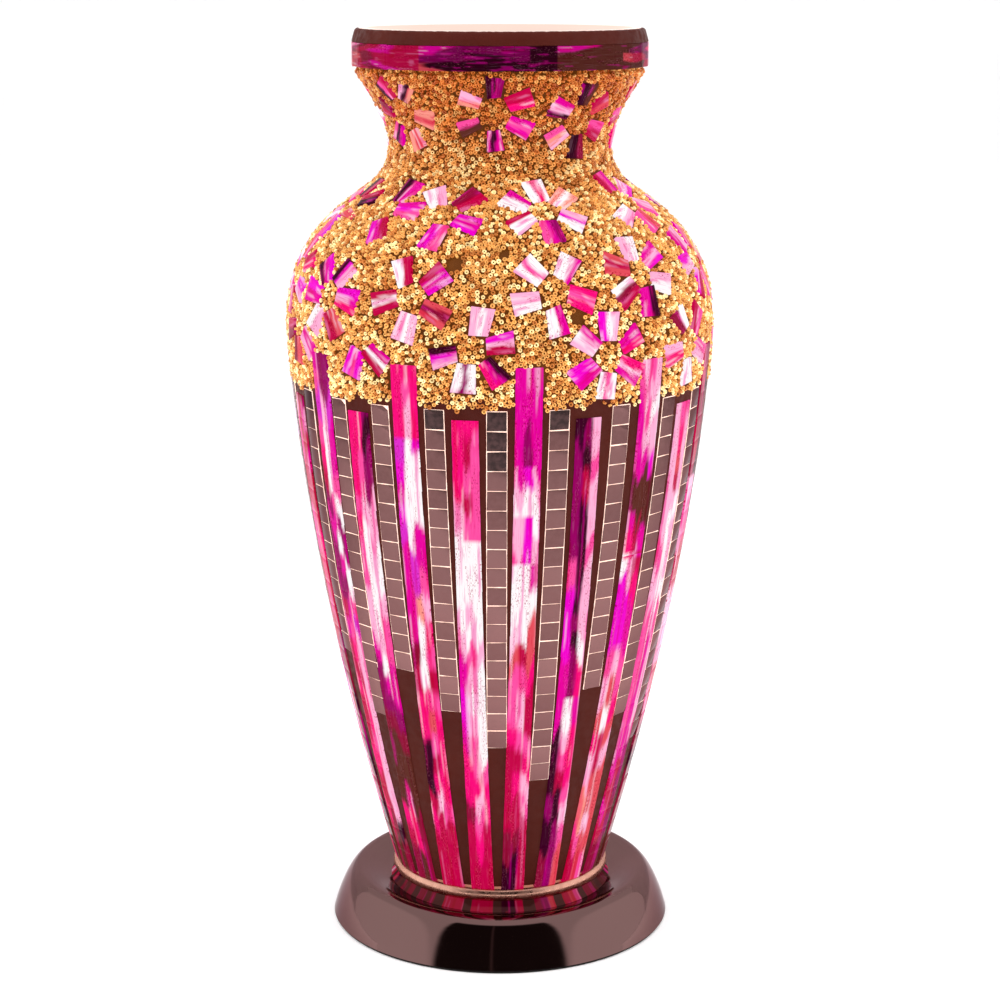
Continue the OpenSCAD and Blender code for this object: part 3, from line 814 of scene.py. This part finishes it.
for pair in range(STRIP_PAIRS):
    node = f"mirror_pair_{pair + 1:02d}"
    slabs, joints = Slabs(), Slabs()
    top_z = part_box(node)[1].z
    for tile in tiles_of(node):
        mirror_tiles.append(tile)
        from_top = (top_z - tile.z) / MIRROR_PITCH
        front = abs(tile.azimuth + 1) < FRONT_WIDTH
        dark_down = DARK_DOWN_MIDDLE if abs(tile.azimuth) < 5 else DARK_DOWN
        dark = (front and from_top < dark_down) or rng.random() < STRAY_DARK
        shade = np.array(MIRROR_SHADES[rng.integers(len(MIRROR_SHADES))])
        # Dark tiles take the dark colour; the others get painted shade, darkest at the top
        shade = DARK_MIRROR if dark else shade * (TOP_PAINTED_SHADE + SHADE_STEP * min(from_top, SHADE_STEPS))
        tilt = rng.normal(0, MIRROR_TILT, 2)
        tile.out = tile.out + tilt[0] * tile.right + tilt[1] * tile.up
        tile.right = tile.right - tilt[0] * tile.out
        tile.up = tile.up - tilt[1] * tile.out
        shape = first_side(jittered(tile.outline, MIRROR_CUT), UP_THE_PIECE)
        if from_top < 1 and rng.random() < NIPPED_SHARE:
            k = 2 if tile.azimuth < 0 else 3
            cut = rng.uniform(*NIP) * MM
            shape = np.vstack([shape[:k], nipped(corners(shape)[k], cut, cut * 1.4), shape[k + 1 :]])
        slabs.add(
            tile, shape, 0.12 * MM, depth=0.05 * MM, thickness=1.8 * MM,
            place=place_values(5 * len(mirror_tiles)), shade=shade,
        )
        outer = tile.outline * (1 + JOINT_SHOWN)
        lean = 0.12 * MM * math.sin(math.radians(tile.azimuth))
        joints.add(tile, outer + [lean, 0], 0.1 * MM, depth=0.3 * MM, thickness=1.5 * MM)
    slabs.finish(f"mirrors_{pair + 1:02d}", "mirror", replaces=[node], slot="mirror_glass")
    joints.finish(f"mirror_joints_{pair + 1:02d}", "joint", slot="mirror_glass")


# ---- Petals ----

# Tones across each petal that faces forward, in order of azimuth
FRONT_PETALS = {
    "petals_neck": "cr mdp dpc so ldo oso bp ol du mdm ch mpm dlm lop db rk cs pc cp cs",
    "petals_upper": "dc vp cd cso km cmf mfp wl pf rc fmf wwm wwc whw ump lfw owo lw cpm sp lf lp",
    "petals_middle": (
        "sp cp fl ch mf dmf lw sc dfl fmh cwc wc lwl cmf srs wl "
        "wpw mw wwm hph scs crw lw dm mlf lw lf ml cf ms sp"
    ),
    "petals_lower": "rc sr ml fpf mwc lfd wuw lwl dmh flc mff lwm wpw fwl hlm mh hl rw ww cp pl",
}
PETAL_TONES = "wl lp pl ph hm mh mu um mw wm cp ch cd du lw pw wp hp oc lo".split()
PETAL_SCALES = dict.fromkeys(FRONT_PETALS, (1.04, 1.17)) | {"petals_neck": (0.84, 1.0)}
PETAL_CELLS = (8, 5)
PETAL_PROUD, PETAL_CUT = 0.25 * MM, 0.6 * MM
PETAL_GLOW, MORE_GLOW = 0.96, 0.12
# Petals within this many degrees of the front take the tones above, in order
IN_SIGHT = 80
petals = []


def petal_bands(letters, seed):
    """Bands of tone side by side, with ragged borders."""
    run = run_of_tones(letters + letters[-1], 7.0 / len(letters))

    def tone(x, y):
        across = x + 3.5 + 0.9 * wander(seed, x, y, 2.2, 6) + 0.5 * wander(seed + 1, x, y, 0.8, 3)
        color = run(across - 3.5 / len(letters))
        pale = patches(seed + 2, x, y, (1.0, 7), 0.4, 0.7, 0.7)
        return streaked(color, pale, patches(seed + 3, x, y, (0.9, 6), 0.35, 0.65, 0.8))

    return tone


for node, words in FRONT_PETALS.items():
    slabs = Slabs()
    words = words.split()
    tiles = sorted(tiles_of(node), key=lambda t: t.azimuth)
    front = [k for k, tile in enumerate(tiles) if -IN_SIGHT < tile.azimuth < IN_SIGHT]
    for k, tile in enumerate(tiles):
        lengths = norm(np.roll(tile.outline, -1, 0) - tile.outline, axis=1)
        shape = np.roll(tile.outline, -int(np.argmin(lengths)), 0)
        shape = jittered(shape * rng.uniform(*PETAL_SCALES[node]), PETAL_CUT)
        petals.append((tile, shape))
        in_front = k in front and front.index(k) < len(words)
        letters = words[front.index(k)] if in_front else str(rng.choice(PETAL_TONES))
        seed = 1000 + 9 * len(petals)
        slabs.add_patch(
            tile, shape, GLASS_BEVEL, PETAL_CELLS, petal_bands(letters, seed), seed,
            glow=PETAL_GLOW + MORE_GLOW * rng.random(), depth=-PETAL_PROUD,
        )
    slabs.finish(node + "_glass", "art_glass", replaces=[node], slot=SLOT_OF[node])


# ---- Grout and adhesive beds ----


def offset_skin(depth, z0, z1, n):
    """The skin between two heights, moved inwards by depth."""
    part = skin[(skin[:, 1] > z0) & (skin[:, 1] < z1)]
    return smooth_line(part - outward(part) * depth, n)


def bed(name, depth, z0, z1, n, look, ripple, **piece):
    outer = offset_skin(depth, z0, z1, n)
    inner = offset_skin(GROUT_DEPTH + 0.6 * MM, z0, z1, 24)
    return lathe(name, np.vstack([outer, inner[::-1]]), look, ripple=ripple, **piece)


def uneven(amount, waves):
    """A smooth hand-made unevenness, in and out."""
    phases = rng.uniform(0, 2 * math.pi, len(waves))

    def ripple(r, z, a):
        swell = sum(np.sin(round_n * a + z / MM * up_n + ph) for (round_n, up_n), ph in zip(waves, phases))
        return r + amount * swell / len(waves), z

    return ripple


bed(
    "grout_face", 0.5 * MM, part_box("grout_coat")[0].z, bed_low + 3 * MM, 120, "grout",
    uneven(0.12 * MM, [(11, 0.05), (22, 0.11), (37, -0.08), (60, 0.2)]),
    replaces=["grout_coat"], slot="grout",
)
bed(
    "bead_adhesive", 1.0 * MM, bed_low - 4 * MM, rim_tile_low + MM, 110, "adhesive",
    uneven(0.18 * MM, [(31, 0.3), (57, -0.5), (83, 0.4), (120, 0.9)]),
    replaces=["bead_bed"], slot="gold_beads",
)


# ---- Seed beads ----

BEAD_R = 1.0 * MM
BEAD_HOLE_R = 0.4 * MM
BEAD_HALF = 0.56 * MM
BEAD_TRIES = 170000
BEAD_GAP = 1.36 * MM
BEAD_REACH = 1.8 * MM
# How much of the way two close beads push each other apart in a round
BEAD_PUSH, SPREAD_ROUNDS = 0.35, 5
PETAL_MARGIN, TILE_MARGIN = 0.7 * MM, 0.85 * MM
# How far the holes tilt from straight out, in radians, and the share of beads that lie on their side
BEAD_TILT, ON_SIDE, ON_SIDE_TILT = 0.42, 0.12, (0.9, 1.5)
BEAD_SIZE, BEAD_LIFT, BEAD_GLOW, BEAD_SHADE = (0.84, 1.08), (-0.6, 0.05), (0.25, 0.68), (0.85, 1.1)
GOLD, BRIGHT, AMBER = linear(230, 168, 92), linear(255, 232, 170), linear(190, 116, 52)
BRIGHT_SHARE, GOLD_UP_TO = 0.26, 0.78
# From this height, over this many millimetres, the beads turn from gold to copper towards the rim
COPPER_FROM, COPPER_OVER = 318, 36
COPPER = np.array([0.72, 0.42, 0.24, 1])


def covered_by(points, tiles, margin):
    """Which points lie over a flat piece, or within a margin of its edges."""
    hit = np.zeros(len(points), bool)
    for tile, outline in tiles:
        off = points - tile.middle
        near = np.einsum("ij,ij->i", off, off) < (9 * MM) ** 2
        flat = np.stack([off[near] @ tile.right, off[near] @ tile.up], 1)
        inside = np.ones(len(flat), bool)
        for p, q in zip(outline, np.roll(outline, -1, 0)):
            inside &= (flat - p) @ inward(q - p) > -margin
        hit[np.flatnonzero(near)[inside]] = True
    return hit


def scattered(points, gap):
    """Picks points in turn, leaving out each one that is closer than gap to one already picked."""
    cells, kept = {}, []
    around = list(product((-1, 0, 1), repeat=3))
    for k, p in enumerate(points):
        x, y, z = (p // gap).astype(int)
        near = (q for dx, dy, dz in around for q in cells.get((x + dx, y + dy, z + dz), ()))
        if all((p[0] - q[0]) ** 2 + (p[1] - q[1]) ** 2 + (p[2] - q[2]) ** 2 > gap * gap for q in near):
            cells.setdefault((x, y, z), []).append(p)
            kept.append(k)
    return kept


def random_on_skin(n, z0, z1):
    z = rng.uniform(z0, z1, 3 * n)
    slope = (radius_at(z + MM) - radius_at(z - MM)) / (2 * MM)
    area = radius_at(z) * np.sqrt(1 + slope**2)
    z = z[rng.random(3 * n) < area / area.max()][:n]
    return rng.uniform(-180, 180, len(z)), z


def spread_out(azimuth, z, rounds):
    """Moves points along the skin, away from neighbours that are closer than a bead's reach."""
    for _ in range(rounds):
        point, _ = skin_place(azimuth, z)
        tree = KDTree(len(point))
        for k, p in enumerate(point):
            tree.insert(p, k)
        tree.balance()
        pairs = []
        for k, p in enumerate(point):
            pairs += [(k, other) for _, other, _ in tree.find_range(p, BEAD_REACH) if other != k]
        own, other = np.array(pairs).T
        off = point[own] - point[other]
        distance = norm(off, axis=1)[:, None]
        push = np.zeros_like(point)
        np.add.at(push, own, off / distance * (BEAD_REACH - distance) * BEAD_PUSH)
        point = point + push
        azimuth, z = np.degrees(np.arctan2(point[:, 0], -point[:, 1])), point[:, 2]
    return azimuth, z


def bead_edge(azimuth):
    """Height of the scalloped lower edge of the beads."""
    a = np.radians(azimuth)
    return bed_low - 1.2 * MM + MM * (1.1 * np.sin(44 * a + 0.7) + 0.7 * np.sin(17 * a))


beads = np.array(random_on_skin(BEAD_TRIES, bed_low - 4 * MM, rim_tile_low - 0.3 * MM))
top_strips = [(t, t.outline) for tiles in strip_tiles.values() for t in tiles if t.z > bed_low - 12 * MM]
top_mirrors = [(t, t.outline) for t in mirror_tiles if t.z > bed_low - 12 * MM]
# Bare spots among the beads: azimuth, and height and radius in millimetres
bare = [(-13, 297, 3.4), (20, 277, 3.0), (-30, 300, 1.6), (1, 301, 2.2), (48, 268, 1.8)]
bare += [(a, rng.uniform(262, 320), rng.uniform(1.8, 3.4)) for a in rng.uniform(80, 280, 14)]


def open_bed(azimuth, z):
    """Which places on the bed are free for a bead."""
    point, _ = skin_place(azimuth, z)
    free = (z > bead_edge(azimuth)) & (z < rim_tile_low - 0.1 * MM)
    free &= ~covered_by(point, petals, PETAL_MARGIN)
    free &= ~covered_by(point, top_strips + top_mirrors, TILE_MARGIN)
    for a, height, r in bare:
        spot, _ = skin_place(np.array([a]), np.array([height * MM]))
        free &= norm(point - spot[0], axis=1) > r * MM
    return free


beads = beads[:, open_bed(*beads)]
kept = scattered(skin_place(*beads)[0], BEAD_GAP)
beads = np.array(spread_out(*beads[:, kept], SPREAD_ROUNDS))
beads = beads[:, open_bed(*beads)]
point, out = skin_place(*beads)


def bead_template(seg=8):
    """A bead's points and faces, with its hole along Z: a short tube with rolled ends."""
    ring = [
        (BEAD_R, -0.45), (BEAD_R, 0.45), (0.72 * BEAD_R, 1.0),
        (BEAD_HOLE_R, 0.7), (BEAD_HOLE_R, -0.7), (0.72 * BEAD_R, -1.0),
    ]
    a = np.arange(seg) * 2 * math.pi / seg
    points = np.array([[r * math.cos(t), r * math.sin(t), h * BEAD_HALF] for t in a for r, h in ring])
    return points, turned_faces(seg, len(ring))


def bead_axes(out, tilt):
    """A random direction for each bead's hole, tilted from straight out by an angle."""
    side = unit_rows(np.cross(out, rng.normal(size=out.shape)))
    axis = out * np.cos(tilt)[:, None] + side * np.sin(tilt)[:, None]
    other = unit_rows(np.cross(axis, rng.normal(size=out.shape)))
    return np.stack([other, np.cross(axis, other), axis], 2)


def build_beads(count):
    shape, faces = bead_template()
    n = len(point)
    tilt = np.abs(rng.normal(0, BEAD_TILT, n))
    on_side = rng.random(n) < ON_SIDE
    tilt[on_side] = rng.uniform(*ON_SIDE_TILT, on_side.sum())
    size = rng.uniform(*BEAD_SIZE, n)
    lift = rng.uniform(*BEAD_LIFT, n) * MM
    axes = bead_axes(out, tilt)
    middle = point + out * lift[:, None]
    points = np.einsum("nij,vj->nvi", axes, shape) * size[:, None, None] + middle[:, None, :]
    pick = rng.random(n)[:, None]
    tone = np.where(pick < BRIGHT_SHARE, BRIGHT, np.where(pick < GOLD_UP_TO, GOLD, AMBER))
    tone = tone * rng.uniform(*BEAD_SHADE, (n, 1))
    copper = np.clip((beads[1] / MM - COPPER_FROM) / COPPER_OVER, 0, 1)[:, None]
    tone = tone * (1 - copper * (1 - COPPER))
    tone[:, 3] = 1
    glow = rng.uniform(*BEAD_GLOW, n) * (1 - 0.2 * copper[:, 0])
    for k, part in enumerate(np.array_split(np.argsort(beads[0]), count)):
        all_faces = (faces[None] + (np.arange(len(part)) * len(shape))[:, None, None]).reshape(-1, 4)
        values = {"tone": tone[part], "glow": glow[part]}
        make_piece(
            f"beads_{k + 1}", points[part].reshape(-1, 3), all_faces, "beads",
            slot="gold_beads", sharp=0,
            attributes={key: np.repeat(value, len(shape), 0) for key, value in values.items()},
        )


build_beads(8)


# ---- Rim ----

# Tones of the rim's glass in three bands, one letter per tile from the back round the left side
RIM_UPPER = "mhumdbucpcprcmcmgggkmbbbgghmudmbuc"
RIM_MIDDLE = "umdbuuhmdrcsrccggkgkbbbscguhmudmbu"
RIM_LOWER = "udlbmuhmdcscrmcskkkkbbbbbcumdhmuuu"
RIM_CUTS = [14, 18, 19, 22]
RIM_CELLS = (22, 14)
RIM_STRETCH = 1.075
RIM_GLOW = 0.66
slabs = Slabs()
tile_run = 2 * math.pi * rim_r / MM / len(RIM_UPPER)
rim_runs = [run_of_tones(t + t[0], tile_run) for t in (RIM_UPPER, RIM_MIDDLE, RIM_LOWER)]
rim_pins = [[(k + 0.5) * tile_run, (k + 1) * tile_run, k * tile_run] for k in RIM_CUTS]
rim_bands = banded(rim_runs, 700, half=1.6, flame=11.0, streak=(0.6, 5), pins=rim_pins)
for tile in tiles_of("rim_tiles"):
    along = (tile.azimuth + 180) / 360 * 2 * math.pi * rim_r / MM
    outline = first_side(jittered(tile.outline * [RIM_STRETCH, 1], HAND_CUT), ROUND_THE_LAMP)
    slabs.add_patch(tile, outline, 0.2 * MM, RIM_CELLS, rim_bands, 700, along=along, glow=RIM_GLOW)
slabs.finish("rim_glass", "art_glass", replaces=["rim_tiles"], slot="rim_glass")

rim_low, rim_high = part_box("rim_edge")
glass_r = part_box("glass_vase")[1].x


def rim_chips(r, z, a):
    """Small waves in the hand-trimmed edge."""
    wave = np.sin(41 * a + 1) + 0.7 * np.sin(97 * a + 2) + 0.5 * np.sin(163 * a)
    return r + 0.12 * MM * wave * (r > glass_r), z - 0.1 * MM * np.abs(wave) * (z > rim_low.z + 3 * MM)


def in_from_rim(outline):
    """[radius, height] points from millimetres in from the rim's largest radius, and heights."""
    return [(rim_r - d * MM, z) for d, z in outline]


low, high = rim_low.z, rim_high.z
edge_outline = [
    (3.4, low), (0.2, low), (0.0, low + 0.3 * MM), (0.5, low + 2.2 * MM),
    (1.2, high - 0.9 * MM), (1.9, high - 0.2 * MM), (3.0, high - 0.1 * MM),
]
lathe(
    "rim_bevel", in_from_rim(edge_outline), "grout", segments=420, ripple=rim_chips,
    replaces=["rim_edge"], slot="grout",
)
joint_outline = [(2.6, rim_tile_low), (0.5, rim_tile_low), (0.5, low), (2.6, low)]
lathe("rim_grout", in_from_rim(joint_outline), "grout", slot="grout")


# ---- Base ----


def turned_face(name, outline, look, wall, **piece):
    """A thin turned skin over an outline of [radius, height] points, run from its foot up."""
    inside = (outline - wall * outward(outline))[::-1]
    return lathe(name, np.vstack([outline, inside]), look, segments=720, **piece)


ring_low, ring_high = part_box("foot_ring")
RING_ROUND, RING_TALL = 2.3 * MM, 2.8 * MM
ring_mid = (ring_low.z + ring_high.z) / 2 - 0.5 * MM
ring_x, ring_back = ring_high.x - 1.7 * MM, ring_high.x - 4.4 * MM
turn = np.radians(np.arange(-85, 96, 6))
ring_face = np.stack([ring_x + RING_ROUND * np.cos(turn), ring_mid + RING_TALL * np.sin(turn)], 1)
back = [(ring_back, ring_mid + RING_TALL), (ring_back, ring_mid - RING_TALL)]
# The ring's copper colour is partly a painted warm reflection of the lamp's light
lathe(
    "foot_ring_face", np.vstack([ring_face, back]), "copper_ring", segments=360,
    replaces=["foot_ring"], slot="copper_ring",
)


def upper_outline(node, middle, spacing):
    """[radius, height] points over the outside of a turned CAD node, in order round a middle point. They
    come from its front half, clear of the cable inlet's hole."""

    def on_top(c, away, up):
        return c.y < 0 and 0.5 * away + up > 0.1

    line = np.array(sorted({(round(r, 5), round(z, 5)) for r, z in turned_points(node, on_top)}))
    line = line[line[:, 0] > middle[0] - 12 * MM]
    line = line[np.argsort(np.arctan2(line[:, 1] - middle[1], line[:, 0] - middle[0]))]
    kept = [line[0]]
    for p in line[1:-1]:
        if norm(p - kept[-1]) > spacing and norm(p - line[-1]) > spacing:
            kept.append(p)
    return np.array(kept + [line[-1]])


DISH_LIP, FELT_SHOWN, FLARE = 2.5 * MM, 1.2 * MM, 0.3
# Half a strip's width in the cup's painted reflection, in millimetres
STRIP_HALF = 4.8
# In the painted reflection, so much of a strip's height shows in one millimetre of the cup
SQUEEZED = 3.0
# The painted reflection's glow colour where no strip falls, and the tint of the strips in it
CUP_PAINTED_GLOW = np.array(linear(70, 34, 30))
PAINTED_REFLECTION_TINT = np.array([0.85, 0.5, 0.6, 1])


def caught_light(azimuth, z):
    """A painted reflection of the strips' feet in the polished cup, upside down, as the colours of its glow.
    """
    color = np.repeat(CUP_PAINTED_GLOW[None], len(z), 0)
    above = cup_high.z + SQUEEZED * (cup_high.z - z)
    for foot, bands in strip_feet:
        x = ((azimuth - foot + 180) % 360 - 180) * math.radians(1) * cup_high.x / MM
        on = np.abs(x) < STRIP_HALF
        color[on] = bands(x[on], above[on] / MM - STRIP_TOP) * PAINTED_REFLECTION_TINT
    return color


cup_low, cup_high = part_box("neck_cup")
cup_line = smooth_line(upper_outline("neck_cup", (cup_high.x - 6 * MM, cup_low.z), MM), 24)
# The cup glows with a painted reflection of the strips above it
turned_face(
    "neck_cup_face", cup_line, "cup", 0.8 * MM, tone=caught_light,
    replaces=["neck_cup"], slot="black_nickel",
)
dish_points = upper_outline("base_dish", (cup_high.x + 11 * MM, 5 * MM), 1.2 * MM)
dish_points = dish_points[dish_points[:, 1] > DISH_LIP]
dish_foot = dish_points[0] + [FLARE * (dish_points[0][1] - FELT_SHOWN), FELT_SHOWN - dish_points[0][1]]
dish_line = smooth_line(np.vstack([dish_foot, dish_points]), 160)
turned_face(
    "base_dish_face", dish_line, "black_nickel", MM, replaces=["base_dish"], slot="black_nickel"
)


# ---- CAD nodes that show as they are ----

for node, slot in SLOT_OF.items():
    look = LOOKS.get(slot)
    if look and not frame["nodes"][node].hide_render:
        data = frame["nodes"][node].data
        data.materials.clear()
        data.materials.append(look.material)


# ---- Floor, light and camera ----


def build_floor():
    """A pale floor that curves up behind into a backdrop."""
    width, front, depth, rise, bend = 3.0, -2.5, 1.6, 1.6, 0.5
    turn = np.linspace(0, math.pi / 2, 24)
    curve = [(depth + bend * math.sin(t), bend - bend * math.cos(t)) for t in turn]
    line = [(front, 0.0), *curve, (depth + bend, rise)]
    points = [(x, y, z) for y, z in line for x in (-width, width)]
    faces = [[2 * k, 2 * k + 1, 2 * k + 3, 2 * k + 2] for k in range(len(line) - 1)]
    mesh = bpy.data.meshes.new("floor")
    mesh.from_pydata(points, [], faces)
    mesh.shade_smooth()
    look = Look("floor", roughness=0.6, specular_ior_level=0.1)
    cloud = look.mix(look.noise(look.coordinates(), 8, 3), linear(240, 240, 240), linear(246, 246, 246))
    look.set(base_color=cloud, emission_color=cloud, emission_strength=0.2)
    mesh.materials.append(look.material)
    floor = new_object("floor", mesh)


GAP_DARK = (0.028, 0.02, 0.02, 1)
SLIT_LIGHT = (0.12, 0.09, 0.09, 1)
PANEL_LIGHT = (1.27, 1.27, 1.27, 1)
SLIT_ASIDE, SLIT_HALF = 0.1, 0.03


def build_world():
    """A pale studio with brighter panels at both sides. The polished base reflects a dark gap at its front
    with a thin slit of light in it."""
    world = bpy.data.worlds.new("studio")
    bpy.context.scene.world = world
    world.use_nodes = True
    nodes = Nodes(world.node_tree)
    axes = nodes.add("ShaderNodeSeparateXYZ", {0: nodes.coordinates("Generated")}).outputs
    ahead = nodes.math("MAXIMUM", nodes.math("MULTIPLY", axes["Y"], -1.0), 0.01)
    aside = nodes.math("DIVIDE", axes["X"], ahead)
    height = nodes.math("MULTIPLY", nodes.step(axes["Z"], 0.03, 0.1), nodes.step(axes["Z"], 0.86, 0.8))
    gap = nodes.math("MULTIPLY", nodes.step(nodes.math("ABSOLUTE", aside), 1.08, 0.9), height)
    from_slit = nodes.math("ABSOLUTE", nodes.math("ADD", aside, SLIT_ASIDE))
    front = nodes.mix(nodes.step(from_slit, SLIT_HALF, 0.0), GAP_DARK, SLIT_LIGHT)
    panel = nodes.step(nodes.math("ABSOLUTE", axes["X"]), 0.7, 0.78)
    light = nodes.mix(panel, (1, 1, 1, 1), PANEL_LIGHT)
    nodes.feed(nodes.tree.nodes["Background"].inputs["Color"], nodes.mix(gap, light, front))


def area_light(name, place, target, size, power):
    light = bpy.data.lights.new(name, "AREA")
    light.shape = "RECTANGLE"
    light.size, light.size_y = size
    light.energy = power
    lamp = new_object(name, light)
    lamp.location = place
    lamp.visible_glossy = False
    lamp.rotation_euler = (Vector(target) - Vector(place)).to_track_quat("-Z", "Y").to_euler()


# The camera: focal length and sensor in millimetres, place, and how far it looks down in radians
LENS, SENSOR = 84.56, 36
CAMERA_PLACE, LOOKING_DOWN = (0, -0.9839, 0.41), 0.224


def build_camera():
    data = bpy.data.cameras.new("camera")
    data.lens = LENS
    data.sensor_width = SENSOR
    camera = new_object("camera", data)
    camera.location = CAMERA_PLACE
    camera.rotation_euler = (math.pi / 2 - LOOKING_DOWN, 0, 0)
    bpy.context.scene.camera = camera


build_floor()
build_world()
area_light("top_light", (0, -0.1, 1.5), (0, 0, 0), size=(1.4, 1.4), power=14)
for name, side in (("left_light", -1), ("right_light", 1)):
    area_light(name, (1.2 * side, -0.7, 0.7), (0, 0, 0.15), size=(0.5, 1.2), power=6)
build_camera()
bpy.context.scene.view_settings.view_transform = "Standard"
